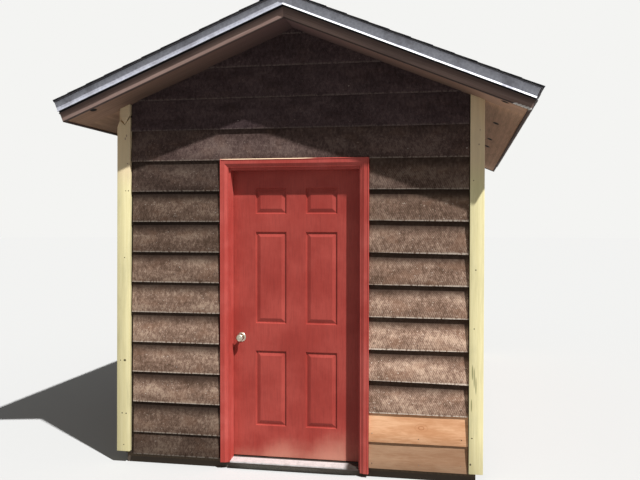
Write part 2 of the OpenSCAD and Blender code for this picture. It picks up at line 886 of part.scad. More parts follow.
// Jamb halves of the hinges: plate, three knuckles and the pin
module jamb_hinges() {
    color("#b8a05a") for (z = hinge_zs) {
        box([rabbet_x - hinge_leaf_t, leaf_back_y - hinge_leaf_d, z - hinge_l / 2],
            [rabbet_x, leaf_back_y - 2, z + hinge_l / 2]);
        for (i = [0, 2, 4]) {
            span = knuckle_span(z, i);
            knuckle(z, i, false);
            box([pin_x, leaf_back_y - 4, span[0]], [rabbet_x, pin_y, span[1]]);
        }
        translate([pin_x, pin_y, z - hinge_l / 2]) cylinder(h = hinge_l, r = pin_r, $fn = 32);
    }
}

// Rose plates on both faces of the leaf, with a plain hole for the neck
module rose_plates() {
    color("#b9b2a0") for (side = [0, 1]) rose_side(side) difference() {
        rotate_extrude($fn = 64) polygon([[0, 0], [rose_d / 2, 0], [rose_d / 2, rose_t * 0.3],
            [rose_d / 2 - rose_rim * 0.4, rose_t * 0.7], [rose_d / 2 - rose_rim, rose_t], [0, rose_t]]);
        translate([0, 0, -1]) cylinder(h = rose_t + 2, d = neck_d + 2 * neck_play, $fn = 48);
    }
}

// Frame of the knob axis at one face of the leaf, with z away from the leaf
module rose_side(side) {
    translate([knob_x, side == 0 ? leaf_front_y : leaf_back_y, knob_axis_z])
        rotate([side == 0 ? 90 : -90, 0, 0]) children();
}

// Outline of one knob from the leaf outward, turned about its axis
module knob_half() {
    r = knob_d / 2;
    ball_z = knob_reach - r * 0.62;
    collar_z = rose_t + 2;
    rotate_extrude($fn = 64) polygon(concat(
        [[0, -1], [neck_d / 2, -1], [neck_d / 2, collar_z], [neck_d * 0.4, collar_z + 6],
            [neck_d * 0.42, ball_z - r * 0.6]],
        [for (a = [-50 : 10 : 60]) [r * cos(a), ball_z + r * 0.62 * sin(a)]],
        [[r * 0.3, knob_reach - 1.5], [0, knob_reach - 1.5]]));
}

// Both knobs on one spindle that runs through the leaf
module door_knobs() {
    color("#c4bda8") {
        for (side = [0, 1]) rose_side(side) knob_half();
        translate([knob_x, leaf_back_y, knob_axis_z]) rotate([90, 0, 0])
            cylinder(h = door_t, d = spindle_d, $fn = 32);
    }
}

floor_slab();
front_frame_left();
front_frame_right();
front_frame_top();
left_wall_frame();
right_wall_frame();
back_wall_frame();
front_siding_left();
front_siding_right();
front_siding_top();
left_siding();
right_siding();
back_siding();
corner_board_left();
corner_scab();
corner_board_right();
corner_boards_sides();
corner_boards_back();
ridge_board();
rafters_left();
rafters_right();
roof_deck_left();
roof_deck_right();
fascia_left();
fascia_right();
rake_boards_front();
rake_boards_back();
rake_strips();
soffits_eaves();
soffits_rakes();
drip_edge_left();
drip_edge_right();
shingles_left();
shingles_right();
ridge_cap();
jamb_left();
jamb_right();
jamb_head();
door_sill();
casing_left();
casing_right();
casing_head();
strike_plate();
jamb_hinges();
door_leaf();
door_hinges();
latch_plate();
rose_plates();
door_knobs();
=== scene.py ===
import math
import random
from functools import partial

import bmesh
import bpy
from mathutils import Matrix, Vector, noise


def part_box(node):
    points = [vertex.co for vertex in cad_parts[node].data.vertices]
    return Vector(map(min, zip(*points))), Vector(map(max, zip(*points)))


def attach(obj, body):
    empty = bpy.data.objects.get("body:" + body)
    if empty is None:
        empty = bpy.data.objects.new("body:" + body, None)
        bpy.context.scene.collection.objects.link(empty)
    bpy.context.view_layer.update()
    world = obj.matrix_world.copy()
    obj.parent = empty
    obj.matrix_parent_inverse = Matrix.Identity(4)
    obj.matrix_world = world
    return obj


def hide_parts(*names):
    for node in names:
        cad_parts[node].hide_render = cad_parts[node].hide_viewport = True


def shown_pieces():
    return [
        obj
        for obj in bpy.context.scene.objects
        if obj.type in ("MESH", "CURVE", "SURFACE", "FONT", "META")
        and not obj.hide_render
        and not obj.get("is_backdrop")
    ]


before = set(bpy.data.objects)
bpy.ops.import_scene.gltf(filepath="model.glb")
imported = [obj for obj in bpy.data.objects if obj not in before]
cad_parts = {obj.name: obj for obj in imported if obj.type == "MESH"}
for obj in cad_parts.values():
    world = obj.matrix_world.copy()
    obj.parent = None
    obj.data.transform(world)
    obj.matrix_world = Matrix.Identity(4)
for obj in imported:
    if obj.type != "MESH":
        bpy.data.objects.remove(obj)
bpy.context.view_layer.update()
scene = bpy.context.scene
print("frame loaded,", len(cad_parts), "nodes")

mm = 0.001
axisX, axisY, axisZ = Vector((1, 0, 0)), Vector((0, 1, 0)), Vector((0, 0, 1))

# short names for the nodes in use: type, main output, sockets in the order they are given, usual settings
nodeKinds = {
    "look": ("ShaderNodeAttribute", 1, (), {"attribute_name": "boardLook"}),
    "grain": ("ShaderNodeAttribute", 1, (), {"attribute_name": "grainPlace"}),
    "place": ("ShaderNodeTexCoord", 3, (), {}),
    "split": ("ShaderNodeSeparateXYZ", 0, (0,), {}),
    "stretch": ("ShaderNodeMapping", 0, ("Vector", "Scale", "Location", "Rotation"), {}),
    "noise": ("ShaderNodeTexNoise", 0, ("Vector", "Scale", "Detail", "Roughness"), {}),
    "cells": ("ShaderNodeTexVoronoi", 0, ("Vector", "Scale"), {}),
    "rings": ("ShaderNodeTexWave", 1, (0, 1, 2, 3, 4, 5), {"wave_type": "RINGS", "rings_direction": "X"}),
    "range": ("ShaderNodeMapRange", 0, (0, 1, 2, 3, 4), {"interpolation_type": "SMOOTHSTEP"}),
    "sum": ("ShaderNodeMath", 0, (0, 1, 2), {"operation": "MULTIPLY_ADD"}),
    "times": ("ShaderNodeMath", 0, (0, 1), {"operation": "MULTIPLY"}),
    "most": ("ShaderNodeMath", 0, (0, 1), {"operation": "MAXIMUM"}),
    "sine": ("ShaderNodeMath", 0, (0,), {"operation": "SINE"}),
    "minus": ("ShaderNodeVectorMath", 0, (0, 1), {"operation": "SUBTRACT"}),
    "over": ("ShaderNodeVectorMath", 0, (0, 1), {"operation": "DIVIDE"}),
    "length": ("ShaderNodeVectorMath", 1, (0,), {"operation": "LENGTH"}),
    "mix": ("ShaderNodeMix", 2, (0, 6, 7), {"data_type": "RGBA"}),
    "ramp": ("ShaderNodeValToRGB", 0, (0,), {}),
    "tint": ("ShaderNodeHueSaturation", 0, ("Color", "Value"), {}),
    "bump": ("ShaderNodeBump", 0, ("Height", "Strength", "Distance"), {}),
    "rays": ("ShaderNodeLightPath", 0, (), {})}


# sRGB hex to the linear colour that the shader reads
def fromHex(code):
    parts = [int(code[i:i + 2], 16) / 255 for i in (1, 3, 5)]
    return [c / 12.92 if c <= 0.04045 else ((c + 0.055) / 1.055) ** 2.4 for c in parts] + [1.0]


# adds one node with its settings, links and fixed inputs, and gives its main output
def addNode(tree, kind, *inputs, ramp=()):
    name, output, sockets, settings = nodeKinds[kind]
    node = tree.nodes.new(name)
    for key, value in settings.items():
        setattr(node, key, value)
    for i, (place, code) in enumerate(ramp):
        stop = node.color_ramp.elements[i] if i < 2 else node.color_ramp.elements.new(place)
        stop.position = place
        stop.color = fromHex(code)
    for socket, value in zip(sockets, inputs):
        if isinstance(value, bpy.types.NodeSocket):
            tree.links.new(value, node.inputs[socket])
        else:
            node.inputs[socket].default_value = fromHex(value) if isinstance(value, str) else value
    return node.outputs[output]


# a material with its shader, and the function that adds a node to it
def newMaterial(name, roughness, metallic=0.0, specular=0.5):
    material = bpy.data.materials.new(name)
    material.use_nodes = True
    shader = material.node_tree.nodes["Principled BSDF"]
    shader.inputs["Roughness"].default_value = roughness
    shader.inputs["Metallic"].default_value = metallic
    shader.inputs["IOR"].default_value = 1.5
    shader.inputs["Specular IOR Level"].default_value = specular
    return material, partial(addNode, material.node_tree), shader


# links the colour, and where they are given the relief and the roughness
def dressShader(shader, colour, height=None, strength=0.3, depth=0.8 * mm, roughness=None):
    tree = shader.id_data
    tree.links.new(colour, shader.inputs["Base Color"])
    if height is not None:
        tree.links.new(addNode(tree, "bump", height, strength, depth), shader.inputs["Normal"])
    if roughness is not None:
        tree.links.new(roughness, shader.inputs["Roughness"])


# opens a finished material for one more layer of colour
def reopen(material):
    shader = material.node_tree.nodes["Principled BSDF"]
    return partial(addNode, material.node_tree), shader, shader.inputs["Base Color"].links[0].from_socket


# growth rings and fibres of sawn timber, from a place whose x runs along the grain
def timberPattern(add, place, ring, fibre, run, ringShare):
    step = 0.314 / ring
    grown = add("stretch", place, (0.05 * step, step, step), (0.3, 0.07 * step, 0.33 * step))
    rings = add("rings", grown, 1.0, 7.0, 2.0, 0.5, 0.5)
    fibres = add("noise", add("stretch", place, (1 / run, 1 / fibre, 1 / fibre)), 1.0, 4.0, 0.6)
    return add("sum", rings, ringShare, fibres)


# how far a point lies inside the marks: each has a centre and a reach along x, y and z
def marksAt(add, marks):
    place = add("place")
    total = None
    for centre, reach in marks:
        away = add("length", add("over", add("minus", place, centre), reach))
        mark = add("range", away, 0.6, 1.0, 1.0, 0.0)
        total = mark if total is None else add("most", total, mark)
    return total


def makeRoughBoards():
    # rough sawn softwood, its brown stain worn by weather: matt, blotched, with saw arcs and splinters
    material, add, shader = newMaterial("roughSawnPineWeathered", 0.92, specular=0.15)
    place = add("grain")
    tone, worn, sawn = add("split", add("look")).node.outputs
    along, rise = add("split", place).node.outputs[:2]
    # saw arcs 14 mm apart, wider than the real 5 mm so that they show from the camera
    lift = add("sum", rise, 1.0, 0.12)
    bowed = add("sum", add("times", lift, lift), 1.6, along)
    arcs = add("sine", add("times", bowed, 2 * math.pi / (14 * mm)))
    blotches = add("noise", add("stretch", place, (3.4, 8.0, 8.0)), 1.0, 4.0, 0.6)
    mottle = add("noise", add("stretch", place, (60, 34, 40)), 1.0, 3.0, 0.65)
    grit = add("noise", place, 95.0, 2.0, 0.7)
    shade = add("sum", mottle, 0.45, add("times", blotches, 0.5))
    shade = add("sum", grit, 0.29, shade)
    shade = add("sum", add("times", arcs, sawn), 0.045, shade)
    spread = add("range", shade, 0.42, 0.83)
    wood = add("ramp", spread, ramp=[(0.0, "#5e4839"), (1.0, "#c2a791"), (0.5, "#8e7363")])
    # the stain stays dark where the eaves keep the rain and sun away; its dark purple also stands in as
    # painted shade under the eaves and in the gable
    stainAndShade = add("ramp", spread, ramp=[(0.0, "#2d2226"), (1.0, "#54444a")])
    colour = add("mix", worn, stainAndShade, wood)
    # rust tints where the stain has gone unevenly
    patches = add("noise", add("stretch", place, (7, 11, 11)), 1.0, 2.0, 0.5)
    patches = add("range", patches, 0.5, 0.68, 0.0, 0.35)
    colour = add("mix", add("times", patches, worn), colour, "#8d6a55")
    # under the lap above the board is darkened, partly damp and soot and partly painted shade of the lap,
    # and the lower lip is pale, partly worn and partly a painted highlight
    dampAndShade = add("range", rise, 0.115, 0.192, 0.0, 0.9)
    colour = add("mix", add("times", dampAndShade, worn), colour, "#33261f")
    lip = add("times", add("range", rise, 3 * mm, 11 * mm, 1.0, 0.0), add("range", mottle, 0.36, 0.55))
    # crumbs of lichen and raised splinters, drawn at 9 mm
    crumbs = add("noise", add("stretch", place, (85, 110, 110)), 1.0, 1.0, 0.5)
    crumbs = add("times", add("range", crumbs, 0.69, 0.78), add("range", rise, 0.13, 0.165, 1.0, 0.0))
    colour = add("mix", add("times", add("most", lip, crumbs), worn), colour, "#d8c8b8")
    dressShader(shader, add("tint", colour, tone), shade, 0.6, 1.6 * mm)
    return material


# planed or dressed softwood with a finish: soft sheen, rings showing through, grime and marks
def dressedTimber(name, dark, pale, roughness, ring, ringShare, marks, markColour, grime, grimeShare,
                  relief=0.25, specular=0.4, second=None, shadeTop=None):
    material, add, shader = newMaterial(name, roughness, specular=specular)
    place = add("grain")
    tone, shadeShare, mixed = add("split", add("look")).node.outputs
    grown = timberPattern(add, place, ring, 5 * mm, 220 * mm, ringShare)
    colour = add("ramp", add("range", grown, 0.3, 0.7 + ringShare), ramp=[(0.0, dark), (1.0, pale)])
    clouds = add("noise", add("stretch", place, (2.2, 14.0, 14.0)), 1.0, 6.0, 0.65)
    colour = add("mix", add("range", clouds, 0.45, 0.72, 0.0, grimeShare), colour, grime)
    if second:
        colour = add("mix", mixed, colour, second)
    if shadeTop:
        # painted shade: black above this height on the board, where the drip edge's hem shades it, thinning
        # out downwards, and a dark band at its foot where the soffit meets it
        height = add("split", place).node.outputs[1]
        black = add("most", add("range", height, shadeTop - 6 * mm, shadeTop),
                    add("range", height, 5 * mm, 8 * mm, 0.75, 0.0))
        black = add("most", black, add("range", height, 8 * mm, shadeTop, 0.0, 0.55))
        colour = add("mix", add("times", black, shadeShare), colour, "#0b0c0f")
    colour = add("mix", marksAt(add, marks), colour, markColour)
    dressShader(shader, add("tint", colour, tone), grown, relief)
    return material


# a new bmesh with the layers that the timber materials read
def newPart():
    part = bmesh.new()
    part.verts.layers.float_vector.new("grainPlace")
    part.verts.layers.float_vector.new("boardLook")
    return part


# puts a finished part into the piece it belongs to
def pour(whole, part):
    spare = bpy.data.meshes.new("spare")
    part.to_mesh(spare)
    part.free()
    whole.from_mesh(spare)
    bpy.data.meshes.remove(spare)


# a block between two corners
def blockPart(low, high):
    part = newPart()
    bmesh.ops.create_cube(part, size=1)
    bmesh.ops.scale(part, vec=[b - a for a, b in zip(low, high)], verts=part.verts)
    bmesh.ops.translate(part, vec=[(a + b) / 2 for a, b in zip(low, high)], verts=part.verts)
    return part


def movePart(part, matrix):
    bmesh.ops.transform(part, matrix=matrix, verts=part.verts)


def edgesAlong(part, axis, share=0.999):
    return [e for e in part.edges if abs((e.verts[1].co - e.verts[0].co).normalized()[axis]) > share]


# cuts a part across one axis into equal lengths
def cutAlong(part, axis, count):
    if count > 1:
        bmesh.ops.subdivide_edges(part, edges=edgesAlong(part, axis), cuts=count - 1, use_grid_fill=True)


def softenEdges(part, edges, width, segments=1):
    bmesh.ops.bevel(part, geom=edges, offset=width, offset_type="OFFSET", segments=segments,
                    profile=0.5, affect="EDGES", material=-1, clamp_overlap=True)


def sharpEdges(part, angle=0.6):
    return [e for e in part.edges if len(e.link_faces) == 2 and e.calc_face_angle(0) > angle]


# scores a part with a plane; with clear, what lies on the normal's side goes
def cutPlane(part, point, normal, clear=False):
    geometry = part.verts[:] + part.edges[:] + part.faces[:]
    return bmesh.ops.bisect_plane(part, geom=geometry, plane_co=point, plane_no=normal, clear_outer=clear)


# cuts off what lies on the normal's side of a plane and closes the cut
def cutOff(part, point, normal):
    cut = cutPlane(part, point, normal, True)
    rim = [e for e in cut["geom_cut"] if isinstance(e, bmesh.types.BMEdge)]
    bmesh.ops.holes_fill(part, edges=rim, sides=0)


# how a part looks, point by point: its tone, its wear or soot, and a third share of its material's own
def looksOf(part):
    return part.verts.layers.float_vector["boardLook"]


# stores where each point lies in its own board, and how that board looks
def stampGrain(part, axes, origin, seed, look=(1.0, 0.5, 0.0)):
    grain = part.verts.layers.float_vector["grainPlace"]
    looks = looksOf(part)
    for v in part.verts:
        away = v.co - Vector(origin)
        v[grain] = Vector((away.dot(axes[0]) + seed * 1.37, away.dot(axes[1]), away.dot(axes[2])))
        v[looks] = Vector(look)


# turns a bmesh into a named piece that rides on a body, and may stand for a node
def finishPiece(name, whole, material, node=None, body="building", smooth=35):
    bmesh.ops.recalc_face_normals(whole, faces=whole.faces)
    mesh = bpy.data.meshes.new(name)
    whole.to_mesh(mesh)
    whole.free()
    mesh.polygons.foreach_set("use_smooth", [True] * len(mesh.polygons))
    mesh.set_sharp_from_angle(angle=math.radians(smooth))
    mesh.materials.append(material)
    piece = bpy.data.objects.new(name, mesh)
    scene.collection.objects.link(piece)
    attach(piece, body)
    if node:
        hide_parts(node)


# camera: at the photograph's place and angle, level with the door's top rail
view = {"place": (1.1272, -7.4567, 1.7019), "turn": 0.1867, "dip": 0.0219, "roll": -0.0012, "lens": 42.43}


def addCamera():
    data = bpy.data.cameras.new("camera")
    data.lens = view["lens"]
    data.sensor_width = 36
    data.clip_end = 200
    camera = bpy.data.objects.new("camera", data)
    turn, dip, roll = view["turn"], view["dip"], view["roll"]
    ahead = Vector((-math.sin(turn) * math.cos(dip), math.cos(turn) * math.cos(dip), -math.sin(dip)))
    side = Vector((math.cos(turn), math.sin(turn), 0))
    right = side * math.cos(roll) + ahead.cross(side) * math.sin(roll)
    turned = Matrix((right, right.cross(ahead), -ahead)).transposed().to_4x4()
    turned.translation = Vector(view["place"])
    camera.matrix_world = turned
    scene.collection.objects.link(camera)
    scene.camera = camera


# light: a key lamp from the upper right front and a plain pale surround
light = {"from": (0.4645, -0.3808, 0.7997), "key": 5.8, "spread": 1.0, "fill": 0.22,
         "surround": "#f4f4f2", "floor": "#c1c1c0", "bounce": "#888785", "floorRadius": 90}


# share of the rays that see the plain background: the camera's, and those of gloss and glass
def seenShare(add):
    rays = add("rays").node.outputs
    gloss = add("most", rays["Is Glossy Ray"], rays["Is Transmission Ray"])
    return add("most", rays["Is Camera Ray"], gloss)


def addLight():
    lamp = bpy.data.lights.new("key", "SUN")
    lamp.energy = light["key"]
    lamp.angle = math.radians(light["spread"])
    key = bpy.data.objects.new("key", lamp)
    key.rotation_mode = "QUATERNION"
    key.rotation_quaternion = Vector(light["from"]).to_track_quat("Z", "Y")
    scene.collection.objects.link(key)
    world = bpy.data.worlds.new("surround")
    scene.world = world
    world.use_nodes = True
    add = partial(addNode, world.node_tree)
    surround = world.node_tree.nodes["Background"]
    surround.inputs["Color"].default_value = fromHex(light["surround"])
    world.node_tree.links.new(add("range", seenShare(add), 0.0, 1.0, light["fill"], 1.0),
                              surround.inputs["Strength"])


# a wide pale floor that keeps the shadow
def addFloor():
    disc = bmesh.new()
    bmesh.ops.create_circle(disc, cap_ends=True, segments=64, radius=light["floorRadius"])
    mesh = bpy.data.meshes.new("floor")
    disc.to_mesh(mesh)
    disc.free()
    floor = bpy.data.objects.new("floor", mesh)
    scene.collection.objects.link(floor)
    material, add, shader = newMaterial("matteBackdropPaint", 0.95, specular=0.0)
    dressShader(shader, add("mix", seenShare(add), light["bounce"], light["floor"]))
    mesh.materials.append(material)
    floor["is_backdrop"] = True


addCamera()
addLight()
addFloor()
scene.view_settings.view_transform = "Standard"
print("camera, light and floor made")

# planes of the walls and the roof, in metres
wall = {"frameX": 1.219, "frameY": 2.4385, "sheathX": 1.230, "sheathY": 2.4495,
        "cornerX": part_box("corner_board_right")[1].x, "footZ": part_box("left_siding")[0].z,
        "leftEnd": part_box("corner_board_left")[1].x, "rightEnd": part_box("corner_board_right")[0].x,
        "doorX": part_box("casing_right")[1].x, "doorTop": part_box("casing_head")[1].z,
        "gableFoot": 2.1, "gableTop": 3.2, "sideTop": 2.4, "eave": 2.4875, "gap": 0.002,
        "cornerWide": 0.092}
roof = {"pitch": math.radians(22.3), "ridgeZ": 3.16297, "fasciaS": 1.7110, "rakeY": 2.7545,
        "boardY": 2.7355, "metalY": 2.7685, "shingleY": 2.7967, "shingleS": 1.7342, "depth": 0.1335,
        "overRidge": -0.1}
slopes = ((-1, "left"), (1, "right"))


# from wall coordinates (along, out, up) to the frame, for each side of the building
def wallMatrix(side):
    turn, out = {"front": (0, "sheathY"), "right": (1, "sheathX"),
                 "back": (2, "sheathY"), "left": (3, "sheathX")}[side]
    turned = Matrix.Rotation(turn * math.pi / 2, 4, "Z") @ Matrix.Translation((0, -wall[out], 0))
    return turned @ Matrix.Scale(-1, 4, axisY)


# from roof coordinates (down the slope, along the ridge, square to the deck) to the frame
def roofMatrix(side):
    c, s = math.cos(roof["pitch"]), math.sin(roof["pitch"])
    turned = Matrix(((side * c, 0, -s), (0, 1, 0), (side * s, 0, c))).transposed().to_4x4()
    turned.translation = Vector((0, 0, roof["ridgeZ"]))
    return turned


def roofZ(x, depth):
    return roof["ridgeZ"] - abs(x) * math.tan(roof["pitch"]) - depth / math.cos(roof["pitch"])


# trims everything above the soffit line on both slopes
def trimToGable(part, depth):
    for side in (-1, 1):
        normal = Vector((side * math.sin(roof["pitch"]), 0, math.cos(roof["pitch"])))
        cutOff(part, (0, 0, roofZ(0, depth)), normal)


# the same span on either side of the middle, lowest first
def mirrored(side, near, far):
    return sorted((side * near, side * far))


# lapped boards: sizes in metres, bow and tilt in mm; each wall has its own butt and lap thickness
laps = {"firstLeft": 0.157, "firstRight": 0.178, "secondRise": 0.374, "exposure": 0.212, "cover": 0.024,
        "cutEvery": 0.09, "softness": 0.0016, "stud": 0.406, "sawn": 0.4, "clear": 0.0004,
        "wave": 0.0014, "mostWave": 0.0008, "ragged": 0.0015, "bow": (-0.5, 1.0), "tilt": 1.2,
        "thick": {"usual": (0.0228, 0.007), "left": (0.022, 0.010), "right": (0.0228, 0.004),
                  "new": (0.0228, 0.0115)}}
# how the stain has aged, with painted shade: it stays dark under the eaves and in the gable, partly kept
# stain and partly painted shade of the overhang, wears pale in the middle, is soiled at the foot
agedAndShaded = {"eave": 2.2, "fade": 1.1, "curve": 1.3, "dark": 0.42, "splash": 0.1, "soiled": 0.42,
        "gable": 0.78, "uneven": (0.93, 1.07), "worn": [(1.9, 1.0), (2.1, 0.6), (2.2, 0.3), (9.9, 0.1)]}
# nail heads in metres; rise and stray are in mm, from the butt and along the board
nail = {"foot": 0.0038, "head": 0.0028, "high": 0.0022, "inset": 0.022, "stray": 9, "rise": (28, 66),
        "sunk": 0.0002, "underRoof": 0.02, "seen": [(-0.917, 0.9485), (-0.764, 0.9525)], "seenRise": 0.093,
        "seenProud": 0.0003}


def weatheringAndShade(z, shade, dice):
    bared = min(max((agedAndShaded["eave"] - z - laps["exposure"] / 2) / agedAndShaded["fade"], 0.0), 1.0) ** agedAndShaded["curve"]
    tone = agedAndShaded["dark"] + (1 - agedAndShaded["dark"]) * bared
    if z < agedAndShaded["splash"]:
        tone *= agedAndShaded["soiled"]
    if z >= wall["gableFoot"]:
        tone = agedAndShaded["gable"]
    worn = next(share for top, share in agedAndShaded["worn"] if z < top)
    return tone * shade * dice.uniform(*agedAndShaded["uneven"]), worn


def buttHeight(row, first):
    if row < 2:
        return wall["footZ"] + row * first
    return wall["footZ"] + laps["secondRise"] + (row - 2) * laps["exposure"]


# the rows whose butts lie between two heights: number, butt height and exposure
def boardRows(first, low, high):
    row = 0
    while buttHeight(row, first) < high:
        z = buttHeight(row, first)
        if z >= low:
            yield row, z, buttHeight(row + 1, first) - z
        row += 1


# one board with a wavy butt, thick at its foot and thin under the next board; lean tilts it endwise
def lappedBoard(side, start, end, row, first, seed, look, thick, top, lean=0.0):
    dice = random.Random(seed)
    foot = buttHeight(row, first)
    shown = buttHeight(row + 1, first) - foot
    head = min(foot + shown + laps["cover"], top)
    butt, lap = laps["thick"][thick]
    part = blockPart((start, 0, 0), (end, 1, 1))
    cutAlong(part, 0, max(2, round((end - start) / laps["cutEvery"])))
    cutAlong(part, 2, 3)
    bow = dice.uniform(*laps["bow"]) * mm
    tilt = lean or dice.uniform(-laps["tilt"], laps["tilt"]) * mm / max(1.0, end - start)
    for v in part.verts:
        x, out, up = v.co
        rise = up * (head - foot)
        outer = butt - (butt - lap) * min(rise / shown, 1.1)
        inner = (lap - laps["clear"]) * (1 - up)
        wave = noise.noise(Vector((x * 2.1, seed * 3.1, up))) * laps["wave"] + bow * (1 - up)
        ragged = noise.noise(Vector((x * 13, seed * 1.7, 4))) * laps["ragged"] * (1 - up)
        v.co = Vector((x, inner + out * (outer - inner + min(wave, laps["mostWave"])),
                       foot + rise + ragged + (x - (start + end) / 2) * tilt))
    low = foot + 4 * mm + abs(tilt) * (end - start) / 2
    lower = [e for e in edgesAlong(part, 0, 0.9)
             if all(v.co.y > lap + 5 * mm and v.co.z < low for v in e.verts)]
    softenEdges(part, lower, laps["softness"], 2)
    stampGrain(part, (axisX, axisZ, axisY), (0, 0, foot), seed * 0.731, look)
    movePart(part, wallMatrix(side))
    return part


# a round nail head at a given rise over the butt; its tone runs from dark rust to pale zinc
def nailHead(side, x, z, rise, shown, thick, tone, proud=0.0):
    butt, lap = laps["thick"][thick]
    out = butt - (butt - lap) * rise / shown - nail["sunk"] + proud
    part = newPart()
    bmesh.ops.create_cone(part, cap_ends=True, segments=8, radius1=nail["foot"], radius2=nail["head"],
                          depth=nail["high"], matrix=Matrix.Rotation(-math.pi / 2, 4, "X"))
    stampGrain(part, (axisX, axisY, axisZ), (0, 0, 0), 1.0, (tone, 0, 0))
    movePart(part, wallMatrix(side) @ Matrix.Translation((x, out, z)))
    return part


def makeNailMaterial():
    # galvanised nail heads, some gone to rust: small, dull, slightly metallic
    material, add, shader = newMaterial("weatheredNailSteel", 0.6, metallic=0.5)
    tone = add("split", add("look"))
    rust = add("noise", add("place"), 300.0, 2.0)
    share = add("sum", rust, 0.4, add("sum", tone, 0.9, -0.2))
    dressShader(shader, add("ramp", share, ramp=[(0.1, "#241b18"), (0.9, "#b8aca2"), (0.5, "#6b5a50")]))
    return material


nailSteel = makeNailMaterial()
oldBoards = makeRoughBoards()


# all the boards of one wall as one piece, and their nails as another
def boardWall(name, side, node, start, end, low, high, top=math.inf, gable=False, shade=1.0, thick="usual",
              seed=1, ends=4 * mm, tones=None, seen=()):
    whole, nails = newPart(), newPart()
    dice = random.Random(seed)
    first = laps["firstLeft"]
    for row, z, shown in boardRows(first, low, high):
        joints = [start] + boardJoints(start, end, dice) + [end]
        for a, b in zip(joints, joints[1:]):
            tone, worn = weatheringAndShade(z, shade, dice)
            if tones:
                tone *= tones[row]
            a += dice.uniform(1 * mm, ends) if a == start else 1 * mm
            b -= dice.uniform(1 * mm, ends) if b == end else 1 * mm
            pour(whole, lappedBoard(side, a, b, row, first, dice.uniform(0, 99), (tone, worn, laps["sawn"]),
                                    thick, top))
            for x in nailPlaces(a, b):
                x += dice.uniform(-nail["stray"], nail["stray"]) * mm
                rise = dice.uniform(*nail["rise"]) * mm
                if not gable or z + rise < roofZ(x, roof["depth"]) - nail["underRoof"]:
                    pour(nails, nailHead(side, x, z + rise, rise, shown, thick, dice.random()))
    for x, z in seen:
        pour(nails, nailHead(side, x, z, nail["seenRise"], laps["exposure"], thick, 0.0, nail["seenProud"]))
    if gable:
        trimToGable(whole, roof["depth"] + 0.4 * mm)
    finishPiece(name + "Boards", whole, oldBoards, node)
    finishPiece(name + "Nails", nails, nailSteel)


# a long run has one joint, on a stud away from its ends
def boardJoints(start, end, dice):
    studs = round((end - start) / laps["stud"])
    return [start + laps["stud"] * dice.randint(3, studs - 3)] if studs > 7 else []


def nailPlaces(start, end):
    count = max(1, round((end - start) / laps["stud"]))
    start, end = start + nail["inset"], end - nail["inset"]
    return [start + (end - start) * i / count for i in range(count + 1)]


# left of the door: how dark each row lies, from the lowest up; these tones and the wall's shade of 0.92 are
# partly the boards' own tone and partly painted shade; two rusty nails show there
leftTones = [0.74, 0.58, 1.0, 1.0, 1.0, 1.0, 1.0, 0.8, 0.8, 0.85]
gap, gableFoot, gableTop = wall["gap"], wall["gableFoot"], wall["gableTop"]
leftEnd, rightEnd = wall["leftEnd"] + gap, wall["rightEnd"] - gap
boardWall("frontLeft", "front", "front_siding_left", leftEnd, -wall["doorX"] - gap, 0, gableFoot,
          wall["doorTop"], shade=0.92, thick="left", seed=11, ends=11 * mm, tones=leftTones,
          seen=nail["seen"])
boardWall("frontTop", "front", "front_siding_top", leftEnd, rightEnd, gableFoot, gableTop, gable=True,
          thick="right", seed=13)
boardWall("back", "back", "back_siding", -rightEnd, rightEnd, 0, gableTop, gable=True, seed=14)
sideEnd = wall["sheathY"] - wall["cornerWide"] - gap
for name, shade, seed in (("left", 1.0, 15), ("right", 1.15, 16)):
    boardWall(name, name, name + "_siding", -sideEnd, sideEnd, 0, wall["sideTop"], wall["eave"],
              shade=shade, seed=seed)


def makeFreshPine():
    # new rough sawn pine: warm tan, nearly even, a knot's swirl and soil on the lowest board
    material, add, shader = newMaterial("roughSawnPineNew", 0.8, specular=0.2)
    place = add("grain")
    tone, _, soil = add("split", add("look")).node.outputs
    clouds = add("noise", add("stretch", place, (2.5, 9, 9)), 1.0, 4.0, 0.6)
    fibres = add("noise", add("stretch", place, (14, 110, 110)), 1.0, 3.0, 0.6)
    shade = add("sum", fibres, 0.4, clouds)
    colour = add("ramp", add("range", shade, 0.5, 0.9), ramp=[(0.0, "#cd946a"), (1.0, "#eebc93")])
    # the swirl: grain rings 17 mm apart, drawn only within 55 mm of the knot
    away = add("minus", add("place"), (0.866, 0.0, 0.352))
    away = add("length", add("over", away, (0.055, 99.0, 0.034)))
    bent = add("sum", clouds, 9.0, add("times", away, 14.0))
    ring = add("range", add("sine", bent), 0.2, 0.95)
    near = add("range", away, 0.35, 1.0, 0.55, 0.0)
    colour = add("mix", add("times", ring, near), colour, "#a4643c")
    colour = add("mix", soil, colour, "#a38b76")
    dressShader(shader, add("tint", colour, tone), fibres, 0.35)
    return material


# right of the door the two lowest boards are new, and some older ones lie out of level:
# the rise of each row in mm and its slope in mm to the metre
beside = {"outOfLevel": [(0, 0), (0, 0), (-3, 0), (-1, -14), (-1, 5), (2, -4), (4, -9), (5, -20), (7, -15),
                         (4, -8)],
          "newLooks": [(0.62, 1.0, 0.35), (1.0, 1.0, 0.0)], "shade": 1.3, "top": 2.09, "ends": 6,
          "nailRise": (30, 60), "nailIn": (0.03, 0.05)}


